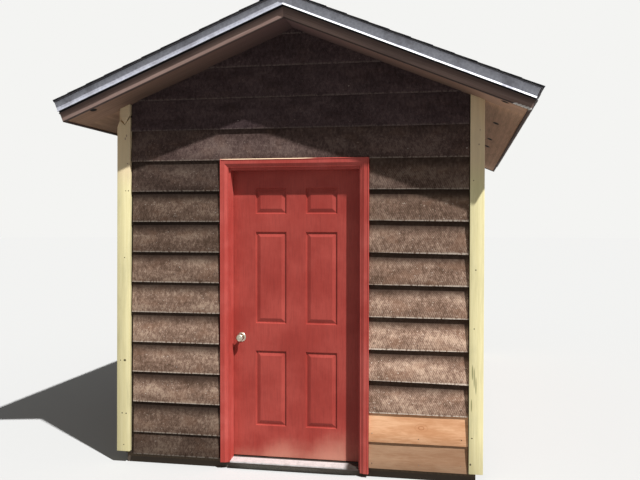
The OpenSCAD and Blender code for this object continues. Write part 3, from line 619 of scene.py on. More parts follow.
def frontRightBoards():
    whole, fresh, nails = newPart(), newPart(), newPart()
    dice = random.Random(12)
    start, end = wall["doorX"] + gap, rightEnd
    first = laps["firstRight"]
    for row, z, shown in boardRows(first, 0, beside["top"]):
        new = row < len(beside["newLooks"])
        tone, worn = weatheringAndShade(z, beside["shade"], dice)
        look = beside["newLooks"][row] if new else (tone, worn, 1.0)
        thick = "new" if new else "right"
        lift, lean = beside["outOfLevel"][row]
        board = lappedBoard("front", start, end - dice.uniform(0, beside["ends"]) * mm, row, first,
                            dice.uniform(0, 99), look, thick, wall["doorTop"] - lift * mm, lean * mm)
        bmesh.ops.translate(board, vec=(0, 0, lift * mm), verts=board.verts)
        pour(fresh if new else whole, board)
        for x in (start + beside["nailIn"][0], (start + end) / 2, end - beside["nailIn"][1]):
            rise = dice.uniform(*beside["nailRise"]) * mm
            pour(nails, nailHead("front", x + dice.uniform(-nail["stray"], nail["stray"]) * mm, z + rise,
                                 rise, shown, thick, dice.random()))
    finishPiece("frontRightBoards", whole, oldBoards, "front_siding_right")
    finishPiece("frontRightNewBoards", fresh, makeFreshPine())
    finishPiece("frontRightNails", nails, nailSteel)


frontRightBoards()
print("lapped boards made")

# sheathing sheets behind the boards, 4 ft wide, seen from inside and behind the siding edges
sheets = {"width": 1.2192, "doorX": 0.4785}


def makeSheathingPly():
    # softwood plywood: broad pale figure inside; the whole outer face is dark grey, partly soil and damp at
    # its foot and partly painted shade where it shows behind the boards
    material, add, shader = newMaterial("softwoodPlywood", 0.85, specular=0.2)
    grown = timberPattern(add, add("grain"), 24 * mm, 6 * mm, 220 * mm, 0.2)
    colour = add("ramp", add("range", grown, 0.3, 0.9), ramp=[(0.0, "#a87f4e"), (1.0, "#cda874")])
    soiled = add("split", add("look")).node.outputs[2]
    dressShader(shader, add("mix", soiled, colour, "#3d332c"))
    return material


def makeSheathing():
    whole = newPart()
    x0, x1, y0, y1 = (wall[key] for key in ("frameX", "sheathX", "frameY", "sheathY"))
    foot = wall["footZ"]
    seeds = random.Random(5)

    # a sheet between two corners, its outer face darkened with soil and painted shade
    def addSheet(low, high, out, gable=False):
        part = blockPart(low, high)
        if gable:
            trimToGable(part, roof["depth"] + 0.5 * mm)
        across = axisX if high[0] - low[0] > high[1] - low[1] else axisY
        stampGrain(part, (axisZ, across, axisZ.cross(across)), low, seeds.uniform(0, 9))
        looks = looksOf(part)
        middle = sum((v.co for v in part.verts), Vector()) / len(part.verts)
        for v in part.verts:
            v[looks].z = 1.0 if (v.co - middle).dot(out) > 0 else 0.0
        pour(whole, part)

    for side in (-1, 1):
        xs = mirrored(side, x0, x1)
        y = -y0
        while y < y0 - 1 * mm:
            stop = min(y + sheets["width"], y0)
            addSheet((xs[0], y, foot), (xs[1], stop - gap, wall["eave"]), axisX * side)
            y = stop
    for x in (-x1, -x1 + sheets["width"]):
        stop = min(x + sheets["width"], x1)
        addSheet((x, y0, foot), (stop - gap, y1, gableTop), axisY, True)
        addSheet((x, -y1, gableFoot), (stop - gap, -y0, gableTop), -axisY, True)
    addSheet((-x1, -y1, foot), (-sheets["doorX"], -y0, gableFoot - gap), -axisY)
    addSheet((sheets["doorX"], -y1, foot), (x1, -y0, gableFoot - gap), -axisY)
    finishPiece("wallSheathing", whole, makeSheathingPly())


makeSheathing()

# corner boards: treated pine gone pale, with knots, nail holes and a moss streak
corners = {"thick": -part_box("corner_board_right")[0].y - wall["sheathY"],
           "footZ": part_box("corner_boards_sides")[0].z, "rightFoot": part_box("corner_board_right")[0].z,
           "lean": -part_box("corner_board_left")[0].x - wall["cornerX"], "softness": 0.003, "cuts": 10}
underSoffit = roof["depth"] + 0.3 * mm
cornerTop = roofZ(wall["cornerX"], underSoffit)
frontY = -wall["sheathY"] - corners["thick"]


# marks on the front faces of the corner boards: place and size in x and z
def faceMarks(*marks):
    return [((x, frontY, z), (wide, 1.0, high)) for x, z, wide, high in marks]


knots = faceMarks(
    (-1.217, 0.733, 0.012, 0.010), (-1.250, 0.732, 0.005, 0.005), (-1.239, 0.357, 0.006, 0.006),
    (-1.209, 0.355, 0.006, 0.006), (-1.228, 0.132, 0.005, 0.005), (-1.206, 2.296, 0.006, 0.012),
    (-1.196, 2.316, 0.006, 0.012), (-1.189, 2.121, 0.008, 0.006), (-1.184, 1.93, 0.006, 0.005),
    (-1.205, 1.93, 0.005, 0.004), (1.229, 2.212, 0.006, 0.007), (1.213, 1.402, 0.006, 0.005),
    (1.194, 0.306, 0.007, 0.005), (1.185, 0.134, 0.007, 0.009), (-1.215, 1.46, 0.005, 0.005),
    (1.196, 1.98, 0.004, 0.005), (1.236, 2.305, 0.004, 0.005), (1.205, 1.02, 0.004, 0.006))
mossStreaks = faceMarks((1.196, 0.735, 0.006, 0.06), (1.207, 0.70, 0.005, 0.08),
                        (1.218, 0.65, 0.005, 0.07), (1.19, 0.52, 0.005, 0.05))


def makeTreatedPine():
    material = dressedTimber("pressureTreatedPine", "#e4d8a2", "#f3e8b6", 0.7, 14 * mm, 0.12, knots,
                             "#5d5334", "#b5b088", 0.4)
    add, shader, colour = reopen(material)
    colour = add("mix", add("times", marksAt(add, mossStreaks), 0.75), colour, "#7d7a4c")
    # under the eaves the boards are tinted browner, partly weathering and partly a painted shade tint where
    # the roof's shadow falls
    height = add("split", add("place")).node.outputs[2]
    dressShader(shader, add("mix", add("range", height, 1.9, 2.15, 0.0, 0.5), colour, "#e3bfa6"))
    return material


treatedPine = makeTreatedPine()


# a corner board whose head follows the soffit, or is level on a side wall
def cornerPiece(xs, ys, foot, seed, level=False):
    part = blockPart((xs[0], ys[0], foot), (xs[1], ys[1], cornerTop))
    for v in part.verts:
        if v.co.z > foot + 1 and not level:
            v.co.z = roofZ(v.co.x, underSoffit)
    softenEdges(part, part.edges[:], corners["softness"], 2)
    cutAlong(part, 2, corners["cuts"])
    across = axisY if level else axisX
    tone = random.Random(seed).uniform(0.92, 1.02)
    stampGrain(part, (axisZ, across, axisZ.cross(across)), (xs[0], ys[0], foot), seed, (tone, 1.0, 0.0))
    return part


# the notch at the top of the left board and the pointed piece in it
scab = {"x": -1.209, "wide": 0.072, "gap": 0.128, "point": 0.062, "step": 0.008, "joint": 0.002,
        "openLeft": 0.030, "openRight": 0.018, "topZ": 2.6, "thinner": 0.0015}


def scabPoints(grow):
    half = scab["wide"] / 2 + grow
    left, right = scab["x"] - half, scab["x"] + half
    low = roofZ(scab["x"], underSoffit) - scab["gap"]
    return [(left, scab["topZ"]), (left, low + scab["point"]), (scab["x"], low - grow),
            (right, low + scab["point"] + scab["step"]), (right, scab["topZ"])]


# a flat outline in x and z, pulled out to a plate between two planes of y
def platePart(points, y0, y1, soft, segments):
    part = newPart()
    corner = [part.verts.new((x, y0, z)) for x, z in points]
    moved = bmesh.ops.extrude_face_region(part, geom=[part.faces.new(corner)])
    lifted = [g for g in moved["geom"] if isinstance(g, bmesh.types.BMVert)]
    bmesh.ops.translate(part, vec=(0, y1 - y0, 0), verts=lifted)
    bmesh.ops.recalc_face_normals(part, faces=part.faces)
    softenEdges(part, sharpEdges(part), soft, segments)
    return part


def makeCornerBoards():
    y1 = -wall["sheathY"]
    x0, x1 = -wall["cornerX"], wall["leftEnd"]
    foot, lean = corners["footZ"], corners["lean"]
    _, notchLeft, notchFoot, notchRight, _ = scabPoints(scab["joint"])
    shoulders = [(x, roofZ(x, roof["depth"]) - scab["gap"] + scab["step"]) for x in (x0, x1)]
    left = platePart([(x0 - lean, foot), (x1 - lean, foot), shoulders[1],
                      (notchRight[0], notchRight[1] - scab["openRight"]), notchFoot,
                      (notchLeft[0], notchLeft[1] - scab["openLeft"]), shoulders[0]],
                     frontY, y1, corners["softness"], 2)
    stampGrain(left, (axisZ, axisX, axisY), (x0, frontY, 0), 3.1, (1.0, 1.0, 0.0))
    finishPiece("cornerBoardLeft", left, treatedPine, "corner_board_left")
    tip = scabPoints(0)
    for i in (0, -1):
        tip[i] = (tip[i][0], roofZ(tip[i][0], underSoffit))
    piece = platePart(tip, frontY + scab["thinner"], y1, 1.5 * mm, 1)
    stampGrain(piece, (axisX, axisZ, axisY), (x0, frontY, 2), 5.7, (0.85, 1.0, 0.0))
    finishPiece("cornerScab", piece, treatedPine, "corner_scab")
    right = cornerPiece((wall["rightEnd"], wall["cornerX"]), (frontY, y1), corners["rightFoot"], 7.3)
    finishPiece("cornerBoardRight", right, treatedPine, "corner_board_right")
    sides, backs = newPart(), newPart()
    for side in (-1, 1):
        xs = mirrored(side, wall["sheathX"], wall["cornerX"])
        for end in (-1, 1):
            ys = mirrored(end, wall["sheathY"] - wall["cornerWide"], wall["sheathY"])
            pour(sides, cornerPiece(xs, ys, foot, 8 + side + 3 * end, True))
        xs = mirrored(side, wall["rightEnd"], wall["cornerX"])
        pour(backs, cornerPiece(xs, (-y1, -frontY), foot, 15 + side))
    finishPiece("cornerBoardsSides", sides, treatedPine, "corner_boards_sides")
    finishPiece("cornerBoardsBack", backs, treatedPine, "corner_boards_back")


makeCornerBoards()
print("corner boards made")

# roof edge: rake boards, strips and fascias, dark stained; the right rake board is painted darker and the
# strips darker still, as painted shade under the drip edge
trim = {"wide": 0.140, "thick": 0.019, "strip": 0.064, "softness": 0.002, "left": 1.0, "right": 0.68,
        "fascia": 0.28, "stripShadeTone": 0.2, "fasciaCuts": 12, "rakeCuts": 6, "ridgeGap": 0.0005}
# a painted highlight along the last of the right rake board's lower edge, where its arris catches the light
arrisHighlightMarks = [((x, -roof["rakeY"], 2.4312 - (x - 1.4223) * 0.385), (0.02, 0.1, 0.007))
              for x in (1.436, 1.458, 1.48, 1.502, 1.524, 1.546)]
stainedTrim = dressedTimber("stainedPineTrim", "#8b7067", "#a88e84", 0.75, 14 * mm, 0.2, arrisHighlightMarks,
                            "#fffaf4", "#6a5854", 0.5, relief=0.3, specular=0.25, shadeTop=0.068)


# a block on a roof slope between two corners; its grain runs down the slope ("s") or along the eaves ("y"),
# and toRidge cuts it plumb just short of the ridge
def slopePart(side, low, high, seed, look, along="s", cuts=1, toRidge=False, soft=0.0):
    part = blockPart(low, high)
    if soft:
        softenEdges(part, part.edges[:], soft, 2)
    cutAlong(part, 0 if along == "s" else 1, cuts)
    axes = (axisX, axisZ, axisY) if along == "s" else (axisY, axisX, axisZ)
    stampGrain(part, axes, low, seed, look)
    movePart(part, roofMatrix(side))
    if toRidge:
        cutOff(part, (side * trim["ridgeGap"], 0, 0), (-side, 0, 0))
    return part


def makeTrim():
    rakesFront, rakesBack, strips = newPart(), newPart(), newPart()
    edge, boardY, soft = roof["fasciaS"], roof["boardY"], trim["softness"]
    for side, name in slopes:
        fascia = slopePart(side, (edge - trim["thick"], -boardY, -trim["wide"]), (edge, boardY, 0),
                           20 + side, (trim["fascia"], 0.0, 0.0), "y", trim["fasciaCuts"], soft=soft)
        finishPiece("fascia" + name.title(), fascia, stainedTrim, "fascia_" + name)
        for end, rakes in ((-1, rakesFront), (1, rakesBack)):
            for whole, near, far, wide, seed, tone in (
                    (rakes, "boardY", "rakeY", "wide", 30, trim[name]),
                    (strips, "rakeY", "metalY", "strip", 40, trim["stripShadeTone"])):
                ys = mirrored(end, roof[near], roof[far])
                low, high = (roof["overRidge"], ys[0], -trim[wide]), (edge, ys[1], 0)
                pour(whole, slopePart(side, low, high, seed + side + end, (tone, 1.0, 0.0), "s",
                                      trim["rakeCuts"], True, soft))
    finishPiece("rakeBoardsFront", rakesFront, stainedTrim, "rake_boards_front")
    finishPiece("rakeBoardsBack", rakesBack, stainedTrim, "rake_boards_back")
    finishPiece("rakeStrips", strips, stainedTrim, "rake_strips")


makeTrim()

# soffits: plywood with a thin brown stain, dark nail lines on the right rafters' feet; the left soffits are
# darker as painted shade
soffit = {"top": -0.124, "under": -0.1335, "eaveS": 1.3843, "sheet": 2.438, "joint": 0.0015, "cuts": 14,
          "rake": 0.85, "fresh": 1.7, "tone": {-1: 0.76, 1: 1.0}, "edgeTone": 0.72, "wallTone": 0.3,
          "overWall": (1.12, 1.34), "wallBand": 0.1}
soffitMarks = [((x, y, roofZ(x, roof["depth"])), (wide, deep, 0.05)) for x, y, wide, deep in (
    (1.381, -2.660, 0.030, 0.034), (1.370, -1.615, 0.028, 0.062), (1.364, -0.511, 0.028, 0.075),
    (1.359, 0.135, 0.032, 0.085), (-1.338, -2.694, 0.024, 0.044))]
soffitPly = dressedTimber("stainedPlywoodSoffit", "#b9937a", "#dcb496", 0.8, 34 * mm, 0.12, soffitMarks,
                          "#0f0b09", "#94765f", 0.4, specular=0.2, second="#84686c")


def makeSoffits():
    eaves, rakes = newPart(), newPart()
    stop = roof["fasciaS"] - trim["thick"] - 0.3 * mm
    under, top, wallY = soffit["under"], soffit["top"], wall["sheathY"]
    near, far = soffit["overWall"]
    for side in (-1, 1):
        look = (soffit["tone"][side], 0.0, 0.0)
        y, seed = -wallY, 50 + side
        while y < wallY - 1 * mm:
            last = min(y + soffit["sheet"], wallY)
            pour(eaves, slopePart(side, (soffit["eaveS"], y, under), (stop, last - soffit["joint"], top),
                                  seed, look, "y"))
            y, seed = last, seed + 3
        for end in (-1, 1):
            ys = mirrored(end, wallY + 0.3 * mm, roof["boardY"])
            rake = slopePart(side, (roof["overRidge"], ys[0], under), (stop, ys[1], top), 60 + side + end,
                             look, "s", soffit["cuts"], True)
            looks = looksOf(rake)
            for v in rake.verts:
                # a purple-grey tint grows towards the ridge, partly dust and partly painted shade
                v[looks].z = soffit["rake"] * (1 - abs(v.co.x) / soffit["fresh"])
                # old cobwebs and dust, and painted shade in the corner, darken the plywood towards the
                # gable
                clean = min(max((abs(v.co.x) - near) / (far - near), 0.0), 1.0)
                dustAndShade = soffit["wallTone" if abs(v.co.y) < wallY + soffit["wallBand"] else "edgeTone"]
                v[looks].x *= dustAndShade + (1 - dustAndShade) * clean
            pour(rakes, rake)
    finishPiece("soffitsEaves", eaves, soffitPly, "soffits_eaves")
    finishPiece("soffitsRakes", rakes, soffitPly, "soffits_rakes")


makeSoffits()


def makeGalvanised():
    # galvanised steel sheet, roll formed: a dull grey face with dirt runs, and a painted highlight along
    # the hem
    material, add, shader = newMaterial("galvanisedSteelSheet", 0.5, metallic=0.12)
    place = add("place")
    dirt = add("noise", place, 7.0, 5.0, 0.65)
    colour = add("ramp", add("cells", place, 60.0), ramp=[(0.0, "#aaacb8"), (1.0, "#c6c8d2")])
    colour = add("mix", add("range", dirt, 0.48, 0.68, 0.0, 0.6), colour, "#85838b")
    # the third look share runs from 0 on the face to the slope's painted highlight share at the lip of the
    # hem
    hem = add("split", add("look")).node.outputs[2]
    bare = add("times", add("range", hem, 0.2, 0.7), add("range", dirt, 0.62, 0.5))
    colour = add("mix", bare, colour, "#f0f0f2")
    dressShader(shader, colour, roughness=add("range", dirt, 0.4, 0.7, 0.42, 0.65))
    return material


galvanised = makeGalvanised()
# the hem's painted highlight share on each slope: full on the right, where the light strikes the hem, faint
# on the left
edging = {"flange": 0.050, "face": 0.052, "kick": 0.015, "thick": 0.0012, "cutEvery": 0.05, "dent": 0.0016,
          "proud": 0.0006, "bare": {-1: 0.2, 1: 1.0}}


# folded edge strip: flange on the deck, face down, hem kicked out, with small dents along it;
# it runs down the slope ("s") or along the eaves ("y") from low to high, at a distance on one side
def edgeStrip(side, run, low, high, at, out, seed):
    part = newPart()
    count = round((high - low) / edging["cutEvery"])
    face, kick, dent = edging["face"], edging["kick"], edging["dent"]
    rows = [(-edging["flange"], 0.0), (0.0, 0.0), (0.0, -face), (kick * 0.8, -face - kick),
            (kick, -face - kick - edging["thick"])]
    bmesh.ops.create_grid(part, x_segments=count, y_segments=len(rows) - 1, size=0.5)
    looks = looksOf(part)
    for v in part.verts:
        share = v.co.x + 0.5
        row = round((v.co.y + 0.5) * (len(rows) - 1))
        away, height = rows[row]
        v[looks] = Vector((1.0, 0.5, edging["bare"][side] if row > 2 else 0.0))
        if row > 0:
            wave = noise.noise(Vector((share * count * 0.28, seed, 1))) + 0.35
            away += max(0.0, wave) * dent * (0.3 if row == 1 else 1.0)
        if row > 2:
            away += max(0.0, noise.noise(Vector((share * count * 0.7, seed, 9)))) * dent
        along, across = low + share * (high - low), out * (at + away)
        v.co = Vector((along, across, height) if run == "s" else (across, along, height))
    movePart(part, roofMatrix(side))
    if run == "s":
        cutPlane(part, (0, 0, 0), (-side, 0, 0), True)
    bmesh.ops.recalc_face_normals(part, faces=part.faces)
    bmesh.ops.solidify(part, geom=part.faces[:], thickness=edging["thick"])
    return part


def makeEdging():
    low, high, proud = roof["overRidge"], roof["fasciaS"], edging["proud"]
    for side, name in slopes:
        whole = newPart()
        pour(whole, edgeStrip(side, "y", -roof["boardY"], roof["boardY"], high + proud, 1, 3))
        for out in (-1, 1):
            pour(whole, edgeStrip(side, "s", low, high, roof["metalY"] + proud, out, side * 2 + out + 7))
        finishPiece("dripEdge" + name.title(), whole, galvanised, "drip_edge_" + name, smooth=20)


makeEdging()


def makeShingleMaterial():
    # asphalt shingles: mineral granules pressed into bitumen, matt, speckled light and dark
    material, add, shader = newMaterial("asphaltShingleGranules", 0.92, specular=0.2)
    place = add("place")
    # granules drawn at 5 mm, three times the real size, so that the speckle shows
    grit = add("noise", place, 200.0, 2.0, 0.7)
    stains = add("noise", place, 2.5, 5.0, 0.6)
    colour = add("ramp", grit, ramp=[(0.3, "#343236"), (0.72, "#8c8988"), (0.5, "#5b585c")])
    colour = add("tint", colour, add("split", add("look")))
    colour = add("mix", add("range", stains, 0.5, 0.72, 0.0, 0.5), colour, "#2f2d2c")
    # the cut edges at both gables show the black bitumen
    along = add("split", place).node.outputs[1]
    across = add("most", along, add("times", along, -1.0))
    cut = add("range", across, roof["shingleY"] - 5 * mm, roof["shingleY"] - 4 * mm)
    dressShader(shader, add("mix", cut, colour, "#121315"), grit, 0.5, 1.2 * mm)
    return material


shingleGrit = makeShingleMaterial()
# shingle tabs and the ridge's caps: sizes in metres, drop and uneven in mm
tabs = {"wide": 0.305, "course": 0.143, "butt": 0.0135, "head": 0.0095, "cover": 0.03, "slot": 0.008,
        "least": 0.06, "drop": 4, "uneven": 3, "curl": 0.0012, "wavy": 0.0015, "softness": 0.0015,
        "dark": 0.55, "pale": 0.95, "broken": (0.030, 0.115), "underlay": (0.0014, 0.0046),
        "underTone": 1.0438}
cap = {"wide": 0.153, "over": 0.05, "lap": 0.03, "foot": 0.0143, "thin": 0.0015, "lift": 0.005}


# one tab: a thin plate that rises to its butt
def shingleTab(side, s1, y0, y1, dice, seed):
    drop = dice.uniform(0, tabs["drop"]) * mm
    part = blockPart((s1 - tabs["course"] - tabs["cover"], y0, 0), (s1 - drop, y1, 1))
    cutAlong(part, 1, 3)
    for v in part.verts:
        x, y, up = v.co
        rise = (s1 - x) / tabs["course"]
        top = tabs["butt"] + (tabs["head"] - tabs["butt"]) * min(rise, 1.0)
        under = (tabs["head"] - 0.5 * mm) * max(0.0, 1 - rise * 0.75)
        curl = abs(noise.noise(Vector((y * 5, seed, s1)))) * tabs["curl"] * max(0.0, 1 - rise)
        wave = noise.noise(Vector((y * 9, seed, 2))) * tabs["wavy"]
        v.co = Vector((x + wave, y, under + up * (top - under) - curl))
    lip = [e for e in part.edges if all(v.co.x > s1 - 8 * mm and v.co.z > 8 * mm for v in e.verts)]
    softenEdges(part, lip, tabs["softness"])
    tone = dice.uniform(tabs["dark"], tabs["pale"])
    stampGrain(part, (axisX, axisY, axisZ), (0, 0, 0), seed, (tone, 0.5, 0.0))
    movePart(part, roofMatrix(side))
    return part


def makeShingles():
    edgeY, edgeS = roof["shingleY"], roof["shingleS"]
    for side, name in slopes:
        whole = newPart()
        dice = random.Random(70 + side)
        for row in range(int(edgeS / tabs["course"]) + 1):
            y = -edgeY + dice.uniform(0, tabs["uneven"]) * mm
            back = edgeY - dice.uniform(0, tabs["uneven"]) * mm
            stop = y + tabs["wide"] * (0.5 if row % 2 else 1.0) * dice.uniform(0.9, 1.0)
            while y < back - 1 * mm:
                if back - stop < tabs["least"]:
                    stop = back
                shut = tabs["slot"] if stop < back else 0
                pour(whole, shingleTab(side, edgeS - row * tabs["course"], y, stop - shut, dice,
                                       dice.uniform(0, 50)))
                y, stop = stop, min(stop + tabs["wide"], back)
        # underlay between the slots and under the edges
        low = (roof["overRidge"], -edgeY + 1 * mm, tabs["underlay"][0])
        high = (edgeS - 6 * mm, edgeY - 1 * mm, tabs["underlay"][1])
        pour(whole, slopePart(side, low, high, 77, (tabs["underTone"], 0.0, 0.0), "y"))
        cutOff(whole, (0, 0, 0), (-side, 0, 0))
        if side < 0:
            # the lowest shingle's front corner has broken away
            place = roofMatrix(side)
            across, along = tabs["broken"]
            cutOff(whole, place @ Vector((edgeS - across, -edgeY, 0)),
                   place.to_3x3() @ Vector((along, -across, 0)).normalized())
        finishPiece("shingles" + name.title(), whole, shingleGrit, "shingles_" + name)


def makeRidgeCap():
    whole = newPart()
    dice = random.Random(90)
    end = roof["shingleY"] - 1 * mm
    y = -end
    while y < end - 4 * mm:
        stop = min(y + tabs["course"], end)
        tone = dice.uniform(tabs["dark"], tabs["pale"])
        for side in (-1, 1):
            wide = cap["wide"] - dice.uniform(0, tabs["uneven"]) * mm
            part = blockPart((-cap["over"], y, 0), (wide, min(stop + cap["lap"], end), 1))
            for v in part.verts:
                share = max(0.0, 1 - (v.co.y - y) / tabs["course"])
                v.co.z = cap["foot"] + v.co.z * (cap["thin"] + cap["lift"] * share)
            stampGrain(part, (axisY, axisX, axisZ), (0, 0, 0), y, (tone, 0.5, 0.0))
            movePart(part, roofMatrix(side))
            cutOff(part, (0, 0, 0), (-side, 0, 0))
            pour(whole, part)
        y = stop
    finishPiece("ridgeCap", whole, shingleGrit, "ridge_cap")


makeShingles()
makeRidgeCap()
print("roof made")


# red exterior paint, brushed on: satin, faded where the sun reaches, darker in the brush marks
def redPaint(name, base, faded, dust=0.0, bare=()):
    material, add, shader = newMaterial(name, 0.5, specular=0.25)
    place = add("place")
    brush = add("noise", add("stretch", place, (120.0, 120.0, 9.0)), 1.0, 3.0, 0.6)
    clouds = add("noise", place, 3.0, 5.0, 0.6)
    colour = add("mix", add("range", clouds, 0.35, 0.68), base, faded)
    colour = add("mix", add("range", brush, 0.4, 0.75, 0.0, 0.22), colour, "#5c1f1d")
    if dust:
        # dust and splashed soil near the sill, thickest towards the hinges; it thins out over the last
        # strip by the hinge jamb, which keeps that strip dark as painted shade of the casing
        x, _, z = add("split", place).node.outputs
        height = add("sum", x, -0.14, add("sum", clouds, -0.30, z))
        splash = add("range", height, -0.16, 0.10, dust, 0.0)
        shown = add("range", x, 0.33, 0.37, 1.0, 0.3)
        colour = add("mix", add("times", splash, shown), colour, "#c8917c")
    if bare:
        colour = add("mix", marksAt(add, bare), colour, "#ffe0bd")
    dressShader(shader, colour, brush, 0.3, 0.5 * mm)
    return material


# a pale line along the upper edge of the head casing: a painted highlight where the light grazes it, and
# paint worn thin there
bareEdge = [((x, -2.47, 2.1430), (0.20, 0.05, 0.0065)) for x in (-0.36, -0.20, -0.02)]
casingPaint = redPaint("redPaintBrushed", "#ab423a", "#be5850", bare=bareEdge)
doorPaint = redPaint("redPaintOnSteelSkin", "#9a3931", "#ac4940", dust=0.7)

# door leaf: both faces pressed with six raised panels
leaf = {"panels": [(0.288, 0.817), (1.004, 1.646), (1.766, 1.949)], "near": 0.066, "far": 0.291,
        "steps": [(0.003, -0.0006), (0.004, -0.0092), (0.006, -0.0002), (0.022, 0.0085), (0.003, 0.0008)],
        "softness": 0.0018, "edgeX": 0.452}


def makeLeaf():
    low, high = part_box("door_leaf")
    part = blockPart(low, high)
    for x in (-leaf["far"], -leaf["near"], leaf["near"], leaf["far"]):
        cutPlane(part, (x, 0, 0), axisX)
    for z in sum(leaf["panels"], ()):
        cutPlane(part, (0, 0, z), axisZ)
    panels = []
    for face in part.faces:
        x, _, z = face.calc_center_median()
        inside = leaf["near"] < abs(x) < leaf["far"] and any(a < z < b for a, b in leaf["panels"])
        if inside and abs(face.normal.y) > 0.9:
            panels.append(face)
    for width, depth in leaf["steps"]:
        bmesh.ops.inset_individual(part, faces=panels, thickness=width, depth=depth, use_even_offset=True)
    rim = [e for e in sharpEdges(part, 1.2) if all(
        abs(v.co.x) > leaf["edgeX"] or v.co.z > high.z - 1e-4 or v.co.z < low.z + 1e-4 for v in e.verts)]
    softenEdges(part, rim, leaf["softness"], 2)
    finishPiece("doorLeaf", part, doorPaint, "door_leaf", "door", 12)


makeLeaf()


def metalMaterial(name, colour, second, roughness, scale, metallic=1.0):
    material, add, shader = newMaterial(name, roughness, metallic)
    smear = add("noise", add("place"), scale, 4.0, 0.6)
    dressShader(shader, add("mix", add("range", smear, 0.35, 0.7), colour, second),
                roughness=add("range", smear, 0.3, 0.7, roughness * 0.8, roughness * 1.3))
    return material


# satin nickel plate, spun and brushed: soft warm grey reflections, duller where hands rub it
satinNickel = metalMaterial("satinNickelPlate", "#cfc8b8", "#a89f8c", 0.3, 40.0)
# plain zinc plated steel of latch and strike: cooler and duller
zincPlate = metalMaterial("zincPlatedSteel", "#c2c0bc", "#95928c", 0.4, 60.0)
# lacquered brass of the hinges, gone brown in places
oldBrass = metalMaterial("lacqueredBrass", "#b89a55", "#7d6636", 0.4, 50.0)
# mill finish aluminium of the sill: scuffed to a pale dull white along the tread
millAluminium = metalMaterial("millAluminium", "#d8d4d3", "#b9b2b0", 0.6, 25.0, 0.35)

# sill with a ribbed tread, its right end torn, soiled and darkened with painted shade
sill = {"stopX": 0.4467, "rabbetX": 0.4592, "rearY": -2.3335, "stopY": -2.383, "frontY": -2.4735,
        "footZ": 0.040, "topZ": 0.068, "lipZ": 0.056, "ribs": 5, "groove": 0.0012, "cuts": 12,
        "tornX": 0.357, "tornShare": 0.35, "sag": 0.1, "pulled": 0.12, "pulledDeep": 0.03,
        "soil": [((0.44, -2.43, 0.05), (0.105, 0.2, 0.1))]}


# darker along the rear and the foot of the sill and at its torn end: partly soil, partly painted shade
# under the door's foot, at the sill's foot and in the casing's shadow over the torn end
def soilAndShadeOnSill():
    add, shader, colour = reopen(millAluminium)
    _, y, z = add("split", add("place")).node.outputs
    soil = add("most", add("range", y, sill["stopY"] - 16 * mm, sill["stopY"] - 10 * mm),
               add("range", z, sill["footZ"] + 6 * mm, sill["footZ"] + 9 * mm, 1.0, 0.0))
    dressShader(shader, add("mix", add("most", soil, marksAt(add, sill["soil"])), colour, "#3d332e"))


def makeSill():
    whole = newPart()
    frontY, stopY, footZ, topZ = (sill[key] for key in ("frontY", "stopY", "footZ", "topZ"))
    strips = 2 * sill["ribs"] + 1
    part = blockPart((-sill["stopX"], frontY, footZ), (sill["stopX"], stopY, topZ))
    cutAlong(part, 1, strips)
    cutAlong(part, 0, sill["cuts"])
    for v in part.verts:
        past = max(0.0, v.co.x - sill["tornX"])
        share = (v.co.y - frontY) / (stopY - frontY)
        if v.co.z > footZ + 1 * mm:
            v.co.z = sill["lipZ"] + share * (topZ - sill["lipZ"])
            if round(share * strips) % 4 in (2, 3):
                v.co.z -= sill["groove"]
            if past and share < sill["tornShare"]:
                v.co.z -= past * sill["sag"]
        if past and v.co.y < frontY + sill["pulledDeep"]:
            v.co.y += past * sill["pulled"]
    pour(whole, part)
    rear = blockPart((-sill["rabbetX"], stopY, footZ), (sill["rabbetX"], sill["rearY"], topZ))
    softenEdges(rear, edgesAlong(rear, 0), 1 * mm)
    pour(whole, rear)
    finishPiece("doorSill", whole, millAluminium, "door_sill")


soilAndShadeOnSill()
makeSill()

# knobs and roses: outlines turned about the knob axis, both faces of the leaf
knob = {"outline": [(0, 0.011), (0.002, 0.011), (0.012, 0.0095), (0.026, 0.0092), (0.033, 0.0150),
                    (0.038, 0.0225), (0.043, 0.0262), (0.048, 0.0270), (0.053, 0.0255), (0.057, 0.0215),
                    (0.0595, 0.0150), (0.0600, 0.0095), (0.0606, 0.0090), (0.0606, 0.0)],
        "rose": [(0, 0.033), (0.0016, 0.033), (0.0035, 0.0315), (0.0050, 0.0290), (0.0066, 0.0262),
                 (0.0070, 0.0245), (0.0070, 0.0205), (0.0064, 0.0190), (0.0064, 0.0117), (0, 0.0117)],
        "steps": 40, "keyway": [(-0.0007, -0.0610, -0.004), (0.0007, -0.0602, 0.004)]}


def turnedPart(outline):
    part = newPart()
    ring = [part.verts.new((radius, -away, 0)) for away, radius in outline]
    edges = [part.edges.new(pair) for pair in zip(ring, ring[1:])]
    bmesh.ops.spin(part, geom=ring + edges, axis=(0, 1, 0), cent=(0, 0, 0), angle=2 * math.pi,
                   steps=knob["steps"], use_merge=True)
    bmesh.ops.remove_doubles(part, verts=part.verts, dist=1e-6)
    bmesh.ops.recalc_face_normals(part, faces=part.faces)
    return part


